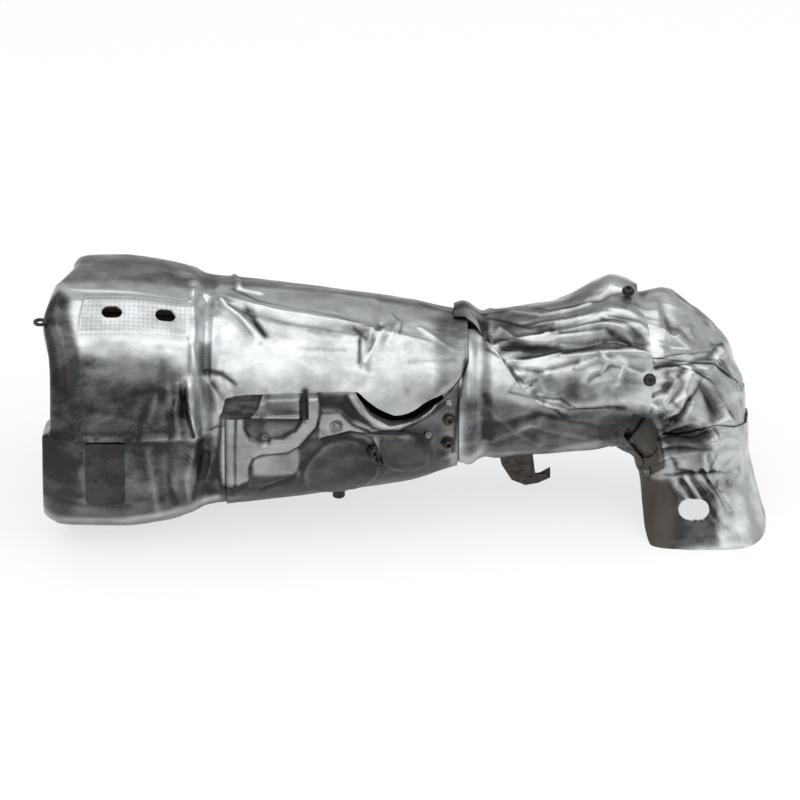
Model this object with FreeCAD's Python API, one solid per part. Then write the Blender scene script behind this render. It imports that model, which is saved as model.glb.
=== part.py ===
"""Exhaust heat shield: pressed and crumpled sheet shells wrapped round a
converter, its outlet pipe and the bend that follows.

Millimetres, +Z up, +X along the pipe run from the inlet to the bend, -Y to
the side that carries the stamped panel.  Every sheet is laid on one skin,
skin(u, e, lift): u runs along the pipe, e is the angle round it (0 faces -Y,
90 is the top, 180 the back, -90 the underside, up to the bend) and lift is
the height above the innermost sheet, outwards, or towards -X on the end wall.
"""
import FreeCAD
import Part
import math
import os
from FreeCAD import Vector

# Sheet and joints
SHEET = 1.0                 # shell sheet
PANEL_SHEET = 1.2           # stamped side panel
LAP_GAP = 0.6               # air between two lapped sheets
SEAT_GAP = 0.35             # air under a fastener head
HOLE_CLEARANCE = 0.2        # round a shank in its hole

# Lengths along the pipe
DRUM_LENGTH = 115.0         # inlet face to the start of the neck
NECK_LENGTH = 22.0          # neck behind the drum
BODY_LENGTH = 208.0         # neck to the waist
SLEEVE_LENGTH = 106.0       # waist to the start of the bend
BEND_RADIUS = 66.0          # centreline of the bend

# Half widths of the section
INLET_OPENING = 62.0        # round mouth in the inlet end
DRUM_HALF = 99.5
NECK_HALF = 84.5
BODY_HALF = 75.0            # halfway along the body
WAIST_HALF = 56.0
SLEEVE_HALF = 58.0
BEND_HALF = 55.0
FOOT_HALF = 44.0
FOOT_RIM_HALF = 46.0

# Where the pipe's centre runs
FLOOR_FLAT = 1.6            # depth of the flat under the drum
SLEEVE_RISE = 8.0           # sleeve centre above the drum's
BEND_RISE = 16.0            # bend centre above the drum's
SLEEVE_BACK = 8.0           # bend start behind the drum's centre
ELBOW_FORWARD = 10.0        # bend end in front of it
FOOT_FORWARD = 36.0         # foot rim in front of it
FOOT_OUT = 11.0             # foot rim beyond the bend's end along X
END_SLANT = 17.0            # inlet end leans back at its top and at its floor

# Seams, in degrees round the pipe
SEAM_E = 6.6                # front edge of the upper shell
BACK_SEAM_E = 176.0         # middle of the lap at the back
SEAM_LAP = 4.0              # each side of the seam
BACK_LOW = BACK_SEAM_E - SEAM_LAP
BACK_HIGH = BACK_SEAM_E + SEAM_LAP

# Mounting pad on the drum
PAD_E = 66.0                # the way it faces
PAD_HALF_ANGLE = 12.0
PAD_FROM = 26.0             # from the inlet face
PAD_LENGTH = 89.0
PAD_SHEET = 0.8
SLOT_LENGTH = 17.0
SLOT_WIDTH = 10.5
SLOT_SPACING = 41.0
SLOT_FROM = 53.5            # first slot's middle from the inlet face

# Neck and waist
RIB_HEIGHT = 4.0
RIB_WIDTH = 5.0
VALLEY_DEPTH = 3.5
COLLAR_HEIGHT = 4.0
COLLAR_WIDTH = 5.0

# Folds of the upper shell and the sleeve
FOLD_STEP = 3.0
WING_HEIGHT = 7.0

# Stamped side panel
PANEL_FROM_NECK = 27.0      # its left edge behind the start of the neck
PANEL_LENGTH = 186.0
PANEL_TOP_E = 34.0
BEAD_HEIGHT = 2.5
BOSS_FROM_EDGE = 92.0
BOSS_E = -24.0
BOSS_RADIUS = 30.0
BOSS_HEIGHT = 2.2
SECOND_BOSS_FROM_EDGE = 149.0
SECOND_BOSS_E = -16.0
SECOND_BOSS_RADIUS = 20.0
STEP_HEIGHT = 2.6
RECESS_DEPTH = 2.0
GROOVE_FROM_EDGE = 65.0
DRUM_LAP = 12.0             # drum's lower shell under the panel
GROOVE_DEPTH = 4.5
ARCH_HEIGHT = 2.0
SCALLOP_FROM_EDGE = 140.0
FLANGE_DEPTH = 9.0

# Laps between the sheets along the pipe
UPPER_SHORT_OF_WAIST = 9.0
SLEEVE_LAP = 29.0           # rear sleeve under the body's end
SLEEVE_ON_BEND_TOP = 11.0   # upper sleeve past the start of the bend
SLEEVE_ON_BEND_FRONT = 33.0
CAP_LENGTH = 73.0           # elbow cap past the start of the bend
SKIRT_LAP = 10.0
SKIRT_ABOVE_BEND_END = 17.0
SKIRT_FROM_E = -50.0
SKIRT_TO_E = 150.0
LEAF_PAST_BEND = 5.0

# Insulation mat behind the window
MAT_LENGTH = 54.0
MAT_THICKNESS = 6.0

# Fasteners
RIVET_HEAD = 2.9
RIVET_SHANK = 1.6
RIVET_DOME = 1.3
SCREW_HEAD = 5.2
SCREW_SHANK = 2.5
SCREW_HEAD_HEIGHT = 4.0
TAIL_LENGTH = 3.0

# Foot
HOLE_LENGTH = 24.0
HOLE_HEIGHT = 16.0
HOLE_Z = 27.0               # above the rim
HOLE_E = -5.0
RIDGE_COUNT = 4
RIDGE_FIRST_E = -18.0
RIDGE_PITCH_E = 11.0
RIDGE_HEIGHT = 1.4
CORNER_FLARE = 6.0

# Small brackets
EYELET_HOLE = 2.6
EYELET_RING = 5.4
EYELET_SHEET = 1.6
EYELET_OUT = 3.0            # ring's middle in front of its root
EYELET_U = 3.0
EYELET_E = 62.0
PLATE_U = 48.7
PLATE_WIDTH = 29.0
PLATE_SHEET = 1.6
PLATE_LOW_E = -28.7
PLATE_TOP_E = 5.4
VENT_U = 93.0
VENT_SPACING = 10.0
VENT_WIDTH = 4.5
VENT_E = 1.5
STUD_FROM_EDGE = 89.6
STUD_E = -76.0
STUD_RADIUS = 5.0
STUD_LENGTH = 7.0           # of the pin below its flange
STUD_CHAMFER = 0.8
STUD_FLANGE_RADIUS = 7.0
STUD_FLANGE = 3.0           # underside of the flange below the panel
HOOK_FROM_WAIST = 28.0
HOOK_E = -64.0
HOOK_SHEET = 2.5
HOOK_DEPTH = 13.0

# Stations worked out from the lengths
NECK_U = DRUM_LENGTH
BODY_U = NECK_U + NECK_LENGTH
WAIST_U = BODY_U + BODY_LENGTH
BEND_U = WAIST_U + SLEEVE_LENGTH
FOOT_U = BEND_U + BEND_RADIUS * math.pi / 2
AXIS_Z = DRUM_HALF - FLOOR_FLAT + SHEET
FOOT_DROP = AXIS_Z + BEND_RISE - BEND_RADIUS
RIM_U = FOOT_U + FOOT_DROP
END_WALL = DRUM_HALF - INLET_OPENING
PANEL_FROM = NECK_U + PANEL_FROM_NECK
PANEL_END = PANEL_FROM + PANEL_LENGTH
BOSS_U = PANEL_FROM + BOSS_FROM_EDGE
SECOND_BOSS_U = PANEL_FROM + SECOND_BOSS_FROM_EDGE
GROOVE_U = PANEL_FROM + GROOVE_FROM_EDGE
SCALLOP_U = PANEL_FROM + SCALLOP_FROM_EDGE
FOLD_END = PANEL_FROM + 120.0
MAT_FROM = PANEL_FROM - 6.0
UPPER_END = WAIST_U - UPPER_SHORT_OF_WAIST
COLLAR_U = UPPER_END + 2.0
LOWER_SLEEVE_FROM = WAIST_U - SLEEVE_LAP
LOWER_SLEEVE_END = BEND_U + SLEEVE_ON_BEND_TOP + 8.0
LOWER_SLEEVE_TOP_E = 84.0
SLEEVE_END_TOP = BEND_U + SLEEVE_ON_BEND_TOP
SLEEVE_END_FRONT = BEND_U + SLEEVE_ON_BEND_FRONT
CAP_END = BEND_U + CAP_LENGTH
SKIRT_U = FOOT_U - SKIRT_ABOVE_BEND_END
ELBOW_END = SKIRT_U + SKIRT_LAP
LEAF_END = FOOT_U + LEAF_PAST_BEND

# Station tables: where along the pipe, and the value there
HALF_TABLE = [
    (-END_WALL, INLET_OPENING),
    (-0.45 * END_WALL, INLET_OPENING + 0.55 * END_WALL),
    (0.0, DRUM_HALF - 6.0),
    (9.0, DRUM_HALF - 1.2),
    (20.0, DRUM_HALF),
    (0.52 * DRUM_LENGTH, DRUM_HALF),
    (0.8 * DRUM_LENGTH, DRUM_HALF - 4.0),
    (NECK_U, DRUM_HALF - 10.0),
    (NECK_U + 0.5 * NECK_LENGTH, NECK_HALF + 0.5),
    (BODY_U, NECK_HALF - 0.5),
    (BODY_U + 0.2 * BODY_LENGTH, NECK_HALF - 4.0),
    (BODY_U + 0.45 * BODY_LENGTH, BODY_HALF),
    (BODY_U + 0.72 * BODY_LENGTH, BODY_HALF - 7.0),
    (BODY_U + 0.9 * BODY_LENGTH, WAIST_HALF + 3.0),
    (WAIST_U, WAIST_HALF),
    (WAIST_U + 0.17 * SLEEVE_LENGTH, SLEEVE_HALF - 1.0),
    (WAIST_U + 0.6 * SLEEVE_LENGTH, SLEEVE_HALF),
    (BEND_U, SLEEVE_HALF + 3.0),
    (0.5 * (BEND_U + FOOT_U), BEND_HALF),
    (FOOT_U, FOOT_HALF),
    (RIM_U, FOOT_RIM_HALF),
]
X_TABLE = [
    (-END_WALL, 3.0),
    (-0.45 * END_WALL, 0.5),
    (0.0, 0.0),
    (9.0, 6.0),
    (20.0, 19.0),
    (30.0, 30.0),
    (BEND_U, BEND_U),
]
SQUARE_TABLE = [
    (-END_WALL, 2.0),
    (0.0, 2.5),
    (NECK_U, 2.6),
    (BODY_U, 2.4),
    (WAIST_U, 2.1),
    (BEND_U, 2.1),
    (FOOT_U, 2.6),
    (RIM_U, 3.2),
]
LEAN_TABLE = [
    (-END_WALL, 88.0),
    (-0.45 * END_WALL, 88.0),
    (0.0, 62.0),
    (9.0, 22.0),
    (20.0, 4.0),
    (30.0, 0.0),
]
RISE_TABLE = [
    (-END_WALL, 0.0),
    (BODY_U + 0.7 * BODY_LENGTH, 0.0),
    (WAIST_U, 0.35 * SLEEVE_RISE),
    (WAIST_U + 0.6 * SLEEVE_LENGTH, SLEEVE_RISE),
    (BEND_U, BEND_RISE),
]
BACK_TABLE = [
    (-END_WALL, 0.0),
    (BODY_U + 0.7 * BODY_LENGTH, 0.0),
    (BEND_U, SLEEVE_BACK),
    (FOOT_U, -ELBOW_FORWARD),
    (RIM_U, -FOOT_FORWARD),
]


def clamp(value, low, high):
    return max(low, min(high, value))


def along(table, u):
    """Smooth monotone value of a station table at u."""
    if u <= table[0][0]:
        return table[0][1]
    if u >= table[-1][0]:
        return table[-1][1]
    k = 0
    while table[k + 1][0] < u:
        k += 1
    slopes = [slope_at(table, i) for i in (k, k + 1)]
    (a, fa), (b, fb) = table[k], table[k + 1]
    w = b - a
    t = (u - a) / w
    t2 = t * t
    t3 = t2 * t
    return ((2 * t3 - 3 * t2 + 1) * fa + (t3 - 2 * t2 + t) * w * slopes[0]
            + (3 * t2 - 2 * t3) * fb + (t3 - t2) * w * slopes[1])


def slope_at(table, i):
    """Slope at one station: none at a peak, else the harmonic mean of both sides."""
    if i == 0 or i == len(table) - 1:
        j = max(i, 1)
        return (table[j][1] - table[j - 1][1]) / (table[j][0] - table[j - 1][0])
    before = (table[i][1] - table[i - 1][1]) / (table[i][0] - table[i - 1][0])
    after = (table[i + 1][1] - table[i][1]) / (table[i + 1][0] - table[i][0])
    if before * after <= 0:
        return 0.0
    return 2 * before * after / (before + after)


def bell(x, centre, width):
    return math.exp(-((x - centre) / width) ** 2)


def ramp(x, low, high):
    """0 below low, 1 above high, smooth between (also with low above high)."""
    t = clamp((x - low) / (high - low), 0.0, 1.0)
    return t * t * (3 - 2 * t)


def window(x, low, high, soft):
    return ramp(x, low - soft, low) * (1 - ramp(x, high, high + soft))


def turn_at(u):
    return clamp((u - BEND_U) / BEND_RADIUS, 0.0, math.pi / 2)


def centre_at(u):
    """Centre of the pipe at u."""
    y = along(BACK_TABLE, u)
    if u <= BEND_U:
        return Vector(along(X_TABLE, u), y, AXIS_Z + along(RISE_TABLE, u))
    turn = turn_at(u)
    past = max(0.0, u - FOOT_U)
    x = BEND_U + BEND_RADIUS * math.sin(turn) + FOOT_OUT * past / FOOT_DROP
    z = AXIS_Z + BEND_RISE - BEND_RADIUS * (1 - math.cos(turn)) - past
    return Vector(x, y, z)


def round_radius(u, e):
    """Radius of the rounded square section, with no flats."""
    power = along(SQUARE_TABLE, u)
    c = abs(math.cos(math.radians(e)))
    s = abs(math.sin(math.radians(e)))
    return along(HALF_TABLE, u) / (c ** power + s ** power) ** (1 / power)


def flat_cut(u, e, facing, radius, distance):
    """Radius of a flat chord at a distance, facing one way."""
    turned = math.cos(math.radians(e - facing))
    if turned < 0.7:
        return radius
    return min(radius, distance / turned)


def neck_rib(u, e):
    """Rib and valley round the front of the neck."""
    here = window(e, -30.0, 84.0, 8.0)
    rib = RIB_HEIGHT * bell(u, NECK_U + 2.0, RIB_WIDTH)
    valley = VALLEY_DEPTH * bell(u, NECK_U + 0.5 * NECK_LENGTH, RIB_WIDTH)
    return here * (rib - valley)


def collar(u, e):
    """Raised collar round the waist, and the valley behind it."""
    raised = COLLAR_HEIGHT * bell(u, COLLAR_U, COLLAR_WIDTH)
    hollow = 0.4 * COLLAR_HEIGHT * bell(u, COLLAR_U + 2.6 * COLLAR_WIDTH, COLLAR_WIDTH)
    return (raised - hollow) * (1 - ramp(e, 60.0, 90.0)) * ramp(e, -180.0, -150.0)


def skin_radius(u, e):
    radius = round_radius(u, e)
    pad_here = window(u, PAD_FROM, PAD_FROM + PAD_LENGTH, 10.0)
    reach = round_radius(u, PAD_E) * math.cos(math.radians(PAD_HALF_ANGLE))
    flat = flat_cut(u, e, PAD_E, radius, reach)
    radius += pad_here * (flat - radius)
    floor_here = window(u, 16.0, PAD_FROM + PAD_LENGTH, 12.0)
    flat = flat_cut(u, e, -90.0, radius, along(HALF_TABLE, u) - FLOOR_FLAT)
    flat = flat_cut(u, e, 270.0, flat, along(HALF_TABLE, u) - FLOOR_FLAT)
    radius += floor_here * (flat - radius)
    return radius + neck_rib(u, e) + collar(u, e)


def end_slant(u, e):
    """How far the inlet end stands back at its top and at its floor."""
    top = ramp(e, 56.0, 88.0)
    bottom = ramp(-e, 42.0, 68.0)
    return END_SLANT * (1 - ramp(u, 0.0, 50.0)) * (top + bottom)


def skin(u, e, lift):
    """Point of the skin at u and e, raised by lift."""
    turn = turn_at(u)
    lean = math.radians(along(LEAN_TABLE, u))
    out = skin_radius(u, e) + lift * math.cos(lean)
    front = -out * math.cos(math.radians(e))
    up = out * math.sin(math.radians(e))
    back = end_slant(u, e) - lift * math.sin(lean)
    return centre_at(u) + Vector(up * math.sin(turn) + back, front, up * math.cos(turn))


def per_degree(u):
    return along(HALF_TABLE, u) * math.pi / 180


def crease(u, e, start, end, width):
    """1 on a straight line from start to end, falling to 0 beside it."""
    scale = per_degree(u)
    ax = end[0] - start[0]
    ay = (end[1] - start[1]) * scale
    bx = u - start[0]
    by = (e - start[1]) * scale
    t = clamp((ax * bx + ay * by) / (ax * ax + ay * ay), 0.0, 1.0)
    return bell(math.hypot(bx - t * ax, by - t * ay), 0.0, width)


def lump(u, e, at, length, breadth):
    return bell(u, at[0], length) * bell((e - at[1]) * per_degree(u), 0.0, breadth)


# Pressed and buckled forms of each sheet
def upper_form(u, e):
    """Folds of the upper shell, where no other sheet lies under it."""
    edge = along(FOLD_EDGE, u)
    here = window(u, BODY_U + 2.0, FOLD_END - 4.0, 8.0)
    form = FOLD_STEP * here * ramp(e, edge - 4.0, edge + 1.0) * (1 - ramp(e, edge + 14.0, 120.0))
    form += FOLD_STEP * crease(u, e, (BODY_U, 80.0), (PANEL_FROM + 32.0, 56.0), 4.0)
    form -= 2.5 * crease(u, e, (PANEL_FROM + 16.0, 76.0), (PANEL_FROM + 28.0, 62.0), 4.0)
    form += 4.0 * lump(u, e, (FOLD_END, 66.0), 6.0, 5.0)
    form -= 2.5 * crease(u, e, (FOLD_END - 8.0, 62.0), (FOLD_END - 6.0, 42.0), 4.0)
    form += 2.0 * crease(u, e, (FOLD_END + 8.0, 64.0), (FOLD_END - 4.0, 46.0), 4.0)
    form += 4.0 * lump(u, e, (NECK_U + 2.0, 84.0), 6.0, 6.0)
    form += 2.0 * crease(u, e, (NECK_U - 17.0, 30.0), (NECK_U - 9.0, 12.0), 5.0)
    form += 2.0 * crease(u, e, (NECK_U - 3.0, 34.0), (NECK_U + 3.0, 12.0), 5.0)
    return form


def panel_form(u, e):
    """Beads, bosses and recesses pressed into the side panel."""
    from_boss = math.hypot(u - BOSS_U, (e - BOSS_E) * per_degree(u))
    form = BOSS_HEIGHT * (1 - ramp(from_boss, BOSS_RADIUS - 3.0, BOSS_RADIUS + 1.5))
    from_second = math.hypot(0.9 * (u - SECOND_BOSS_U), (e - SECOND_BOSS_E) * per_degree(u))
    form += BOSS_HEIGHT * (1 - ramp(from_second, SECOND_BOSS_RADIUS - 3.0, SECOND_BOSS_RADIUS + 1.5))
    form += BEAD_HEIGHT * bell(u, PANEL_FROM + 4.0, 4.0)
    field_edge = along(STEP_EDGE, u)
    field = ramp(e, field_edge - 1.5, field_edge + 2.0) * ramp(u, PANEL_FROM + 18.0, PANEL_FROM + 24.0)
    form += STEP_HEIGHT * field * (1 - ramp(u, GROOVE_U + 11.0, GROOVE_U + 15.0))
    recess = window(u, PANEL_FROM + 21.0, PANEL_FROM + 58.0, 3.0) * window(e, -1.0, 11.0, 3.0)
    form -= RECESS_DEPTH * recess
    form -= GROOVE_DEPTH * window(u, GROOVE_U - 1.5, GROOVE_U + 1.5, 3.0) * ramp(e, 2.0, 6.0)
    form += ARCH_HEIGHT * crease(u, e, (GROOVE_U + 23.0, 14.0), (GROOVE_U + 55.0, 2.0), 4.0)
    form += ARCH_HEIGHT * crease(u, e, (GROOVE_U + 55.0, 2.0), (GROOVE_U + 95.0, 10.0), 4.0)
    rolled = window(u, SCALLOP_U - 24.0, SCALLOP_U + 18.0, 6.0) * ramp(e, panel_top(u) - 2.5, panel_top(u))
    clear = ramp(e, -75.0, -58.0) * (1 - ramp(u, LOWER_SLEEVE_FROM - 9.0, LOWER_SLEEVE_FROM - 3.0))
    if form > 0:
        clear *= 1 - ramp(e, tongue_edge(u) - 5.0, tongue_edge(u) - 1.5)
    return form * clear - FLANGE_DEPTH * rolled


def sleeve_form(u, e):
    """Long folds, wings and the buckled hem of the rear upper sleeve."""
    long_fold = window(u, WAIST_U + 38.0, BEND_U + 8.0, 12.0)
    form = 3.5 * long_fold * bell(e, 61.0, 5.0) - 5.0 * long_fold * bell(e, 50.0, 5.0)
    short_fold = window(u, WAIST_U + 50.0, BEND_U + 4.0, 10.0)
    form += 2.5 * short_fold * bell(e, 75.0, 4.0) - 2.5 * short_fold * bell(e, 68.0, 4.0)
    form += WING_HEIGHT * ramp(u, WAIST_U + 56.0, BEND_U) * bell(e, 104.0, 16.0)
    form += (WING_HEIGHT + 2.0) * (1 - ramp(u, WAIST_U - 8.0, WAIST_U + 10.0)) * bell(e, 116.0, 14.0)
    form += 3.0 * lump(u, e, (WAIST_U + 58.0, 14.0), 9.0, 8.0)
    return form


def cap_form(u, e):
    """Dimple and crown of the elbow cap."""
    clear = ramp(u, BEND_U + 26.0, BEND_U + 36.0)
    form = 3.0 * clear * lump(u, e, (BEND_U + 50.0, 92.0), 16.0, 16.0)
    form -= 3.0 * clear * lump(u, e, (BEND_U + 45.0, 66.0), 5.0, 5.0)
    return form + 1.25 * min(0.0, sleeve_form(u, e))


def elbow_form(u, e):
    """Crumples of the elbow's front shell, clear of every lap."""
    form = 4.0 * crease(u, e, (BEND_U + 35.0, 30.0), (BEND_U + 49.0, 2.0), 5.0)
    form -= 4.0 * crease(u, e, (BEND_U + 43.0, 34.0), (BEND_U + 57.0, 10.0), 5.0)
    form -= 6.0 * lump(u, e, (BEND_U + 64.0, 46.0), 11.0, 12.0)
    form += 3.0 * crease(u, e, (BEND_U + 55.0, 58.0), (BEND_U + 81.0, 58.0), 4.0)
    form += 4.0 * crease(u, e, (BEND_U + 60.0, -20.0), (BEND_U + 64.0, 30.0), 5.0)
    form -= 3.0 * crease(u, e, (BEND_U + 73.0, -24.0), (BEND_U + 75.0, 40.0), 5.0)
    form += 3.0 * lump(u, e, (BEND_U + 70.0, 94.0), 12.0, 14.0)
    clear = ramp(u, SLEEVE_END_FRONT + 2.0, SLEEVE_END_FRONT + 12.0) * ramp(e, -40.0, -26.0)
    clear *= 1 - ramp(u, SKIRT_U - 6.0, SKIRT_U - 1.0)
    cap_here = (1 - ramp(u, CAP_END + 1.0, CAP_END + 8.0)) * ramp(e, cap_edge(u) - 10.0, cap_edge(u) - 3.0)
    return form * clear * (1 - cap_here) + 1.1 * min(0.0, cap_form(u, e))


def skirt_form(u, e):
    """Ridges, rosette and the turned-out corner of the foot skirt."""
    form = 2.0 * lump(u, e, (FOOT_U + 5.0, 34.0), 10.0, 10.0)
    for ridge in range(RIDGE_COUNT):
        start = RIDGE_FIRST_E + RIDGE_PITCH_E * ridge
        form += RIDGE_HEIGHT * crease(u, e, (FOOT_U + 1.0, start), (FOOT_U + 13.0, start + 8.0), 2.6)
    form += RIDGE_HEIGHT * crease(u, e, (FOOT_U + 6.0, 24.0), (FOOT_U + 24.0, 32.0), 3.5)
    form *= ramp(u, FOOT_U - 1.0, FOOT_U + 5.0)
    return form + CORNER_FLARE * ramp(u, RIM_U - 34.0, RIM_U) * (1 - ramp(e, -52.0, -24.0))


def plain_form(u, e):
    return 0.0


def mat_form(u, e):
    """Crumples of the mat's cover, all inwards."""
    return 0.8 * math.sin(0.45 * u + 0.2 * e) * math.sin(0.31 * e - 0.17 * u) - 0.8


# Edges of the sheets, as angles for a station or stations for an angle
def tongue_edge(u):
    """Front edge of the upper shell: straight on the drum, waved on the body."""
    return along(TONGUE_TABLE, u)


def panel_top(u):
    """Top edge of the side panel, with the scallop and the window over the mat."""
    return along(PANEL_TOP_TABLE, u)


def foil_edge(u):
    """Front edge of the rear upper sleeve, torn across near the waist."""
    return along(FOIL_TABLE, u)


def lower_sleeve_top(u):
    """Front edge of the rear lower sleeve, tucked under the foil edge."""
    return along(TUCK_TABLE, u)


def lower_sleeve_back(u):
    return BACK_LOW - 360.0 + 3 * SEAM_LAP * ramp(u, BEND_U - 36.0, BEND_U - 15.0)


def upper_sleeve_back(u):
    return BACK_HIGH + 3 * SEAM_LAP * ramp(u, BEND_U - 36.0, BEND_U - 15.0)


def cap_edge(u):
    return along(CAP_TABLE, u)


def elbow_top(u):
    """The front shell laps under the cap, and closes the pipe past it."""
    return along(ELBOW_TOP_TABLE, u)


def sleeve_end(e):
    return along([(-5.0, SLEEVE_END_FRONT), (20.0, SLEEVE_END_FRONT - 8.0), (90.0, SLEEVE_END_TOP)], e)


def leaf_end(e):
    """End of the rear lower sleeve, with the leaf that runs down the inside of the bend."""
    return along([(-135.0, LOWER_SLEEVE_END), (-112.0, LEAF_END), (-60.0, LEAF_END),
                  (-44.0, LEAF_END - 34.0), (-30.0, LOWER_SLEEVE_END)], e)


# Heights of the sheets above the skin
def upper_lift(u):
    """Two sheets thick past the drum, where the side panel comes between."""
    on_panel = SHEET + PANEL_SHEET + 2 * LAP_GAP
    return along([(NECK_U - 20.0, SHEET + LAP_GAP), (PANEL_FROM, on_panel)], u)


def pad_lift(u):
    return upper_lift(u) + SHEET + SEAT_GAP


def upper_sleeve_lift(u):
    over_upper = upper_lift(u) + SHEET + LAP_GAP
    return along([(UPPER_END + 2.0, over_upper), (UPPER_END + 14.0, SHEET + LAP_GAP)], u)


def lower_sleeve_lift(u):
    """The leaf lies over the skirt's corner."""
    return along([(LOWER_SLEEVE_END + 10.0, 0.0), (SKIRT_U - 12.0, SHEET + LAP_GAP)], u)


# Building a sheet
def spans(*pieces):
    """Values from spans of (from, to, cells)."""
    values = [pieces[0][0]]
    for low, high, cells in pieces:
        for k in range(1, cells + 1):
            values.append(low + (high - low) * k / cells)
    return values


def solid_between(outer, inner):
    """Closed solid of flat facets between two grids of points."""
    rows = len(outer)
    columns = len(outer[0])
    points = [p for row in outer for p in row] + [p for row in inner for p in row]
    facets = []

    def quad(a, b, c, d):
        if (points[a] - points[c]).Length <= (points[b] - points[d]).Length:
            facets.extend([(a, b, c), (a, c, d)])
        else:
            facets.extend([(a, b, d), (b, c, d)])

    def out(i, j):
        return i * columns + j

    def inn(i, j):
        return rows * columns + i * columns + j

    for i in range(rows - 1):
        for j in range(columns - 1):
            quad(out(i, j), out(i + 1, j), out(i + 1, j + 1), out(i, j + 1))
            quad(inn(i, j), inn(i, j + 1), inn(i + 1, j + 1), inn(i + 1, j))
        quad(out(i, 0), inn(i, 0), inn(i + 1, 0), out(i + 1, 0))
        quad(out(i, columns - 1), out(i + 1, columns - 1), inn(i + 1, columns - 1), inn(i, columns - 1))
    for j in range(columns - 1):
        quad(out(0, j), out(0, j + 1), inn(0, j + 1), inn(0, j))
        quad(out(rows - 1, j), inn(rows - 1, j), inn(rows - 1, j + 1), out(rows - 1, j + 1))
    shell = Part.Shape()
    shell.makeShapeFromMesh((points, facets), 0.001)
    solid = Part.makeSolid(shell)
    if solid.Volume < 0:
        solid.reverse()
    return solid


class Sheet:
    """A sheet over part of the skin.  Its last station may depend on the
    angle, its low and high edges and its lift on the station.  The edges
    stretch the angles between them and the pivot."""

    def __init__(self, stations, angles, lift, thickness, form, last=None, low=None, high=None, pivot=0.0):
        self.stations = stations
        self.angles = angles
        self.lift = lift
        self.thickness = thickness
        self.form = form
        self.last = last
        self.low = low
        self.high = high
        self.pivot = pivot

    def base(self, u, e):
        """Height of the sheet's inner face above the skin."""
        lift = self.lift(u) if callable(self.lift) else self.lift
        return lift + self.form(u, e)

    def top(self, u, e):
        return self.base(u, e) + self.thickness

    def solid(self):
        outer = []
        inner = []
        first_u = self.stations[0]
        last_u = self.stations[-1]
        first_e = self.angles[0]
        last_e = self.angles[-1]
        for station in self.stations:
            outer_row = []
            inner_row = []
            for angle in self.angles:
                end = self.last(angle) if self.last else last_u
                u = first_u + (station - first_u) * (end - first_u) / (last_u - first_u)
                e = angle
                turned = angle - self.pivot
                if self.low and turned < 0:
                    e = self.pivot + turned * (self.low(u) - self.pivot) / (first_e - self.pivot)
                if self.high and turned > 0:
                    e = self.pivot + turned * (self.high(u) - self.pivot) / (last_e - self.pivot)
                outer_row.append(skin(u, e, self.top(u, e)))
                inner_row.append(skin(u, e, self.base(u, e)))
            outer.append(outer_row)
            inner.append(inner_row)
        return solid_between(outer, inner)


# Where things sit on the skin
def seat(top, u, e, radius=0.0):
    """Point and outward normal on a sheet, clear of it all round a head."""
    step = 2.0
    turned = step / per_degree(u)
    here = skin(u, e, top(u, e))
    ahead = skin(u + step, e, top(u + step, e)) - skin(u - step, e, top(u - step, e))
    round_it = skin(u, e + turned, top(u, e + turned)) - skin(u, e - turned, top(u, e - turned))
    normal = ahead.cross(round_it)
    normal.normalize()
    if normal.dot(here - centre_at(u)) < 0:
        normal = normal * -1
    rise = 0.0
    for k in range(8):
        du = radius * math.cos(math.radians(45 * k))
        de = radius * math.sin(math.radians(45 * k)) / per_degree(u)
        rim = skin(u + du, e + de, top(u + du, e + de))
        rise = max(rise, (rim - here).dot(normal))
    return here + normal * rise, normal


def placed(shape, point, normal):
    """A shape made along +Z at the origin, moved to its seat."""
    turned = shape.copy()
    turned.Placement = FreeCAD.Placement(point, FreeCAD.Rotation(Vector(0, 0, 1), normal))
    return turned


def rivet(depth):
    """Blind rivet: bevelled flange with a dimple, shank and set tail."""
    tail = -depth - TAIL_LENGTH
    neck = -depth - 1.5 * LAP_GAP
    profile = [(0.0, tail), (1.25 * RIVET_SHANK, tail), (1.25 * RIVET_SHANK, neck), (RIVET_SHANK, neck),
               (RIVET_SHANK, SEAT_GAP), (RIVET_HEAD, SEAT_GAP), (RIVET_HEAD, 0.3 * RIVET_DOME),
               (0.8 * RIVET_HEAD, 0.8 * RIVET_DOME), (0.4 * RIVET_HEAD, RIVET_DOME),
               (0.0, 0.5 * RIVET_DOME), (0.0, tail)]
    face = Part.Face(Part.makePolygon([Vector(r, 0, z) for r, z in profile]))
    return face.revolve(Vector(0, 0, 0), Vector(0, 0, 1), 360)


def screw(depth):
    """Flanged screw with a bevelled head and a six-sided recess."""
    flange = Part.makeCylinder(SCREW_HEAD, 1.0, Vector(0, 0, SEAT_GAP))
    head = Part.makeCylinder(0.72 * SCREW_HEAD, SCREW_HEAD_HEIGHT, Vector(0, 0, SEAT_GAP))
    head = head.makeChamfer(0.2 * SCREW_HEAD_HEIGHT, [head.Edges[0]])
    across = 0.4 * SCREW_HEAD
    corners = []
    for k in range(7):
        angle = math.radians(60 * k)
        corners.append(Vector(across * math.cos(angle), across * math.sin(angle), 0.6 * SCREW_HEAD_HEIGHT))
    recess = Part.Face(Part.makePolygon(corners)).extrude(Vector(0, 0, SCREW_HEAD_HEIGHT))
    length = depth + 2 * TAIL_LENGTH + SEAT_GAP
    shank = Part.makeCylinder(SCREW_SHANK, length, Vector(0, 0, SEAT_GAP - length))
    return flange.fuse([head, shank]).removeSplitter().cut(recess)


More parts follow.
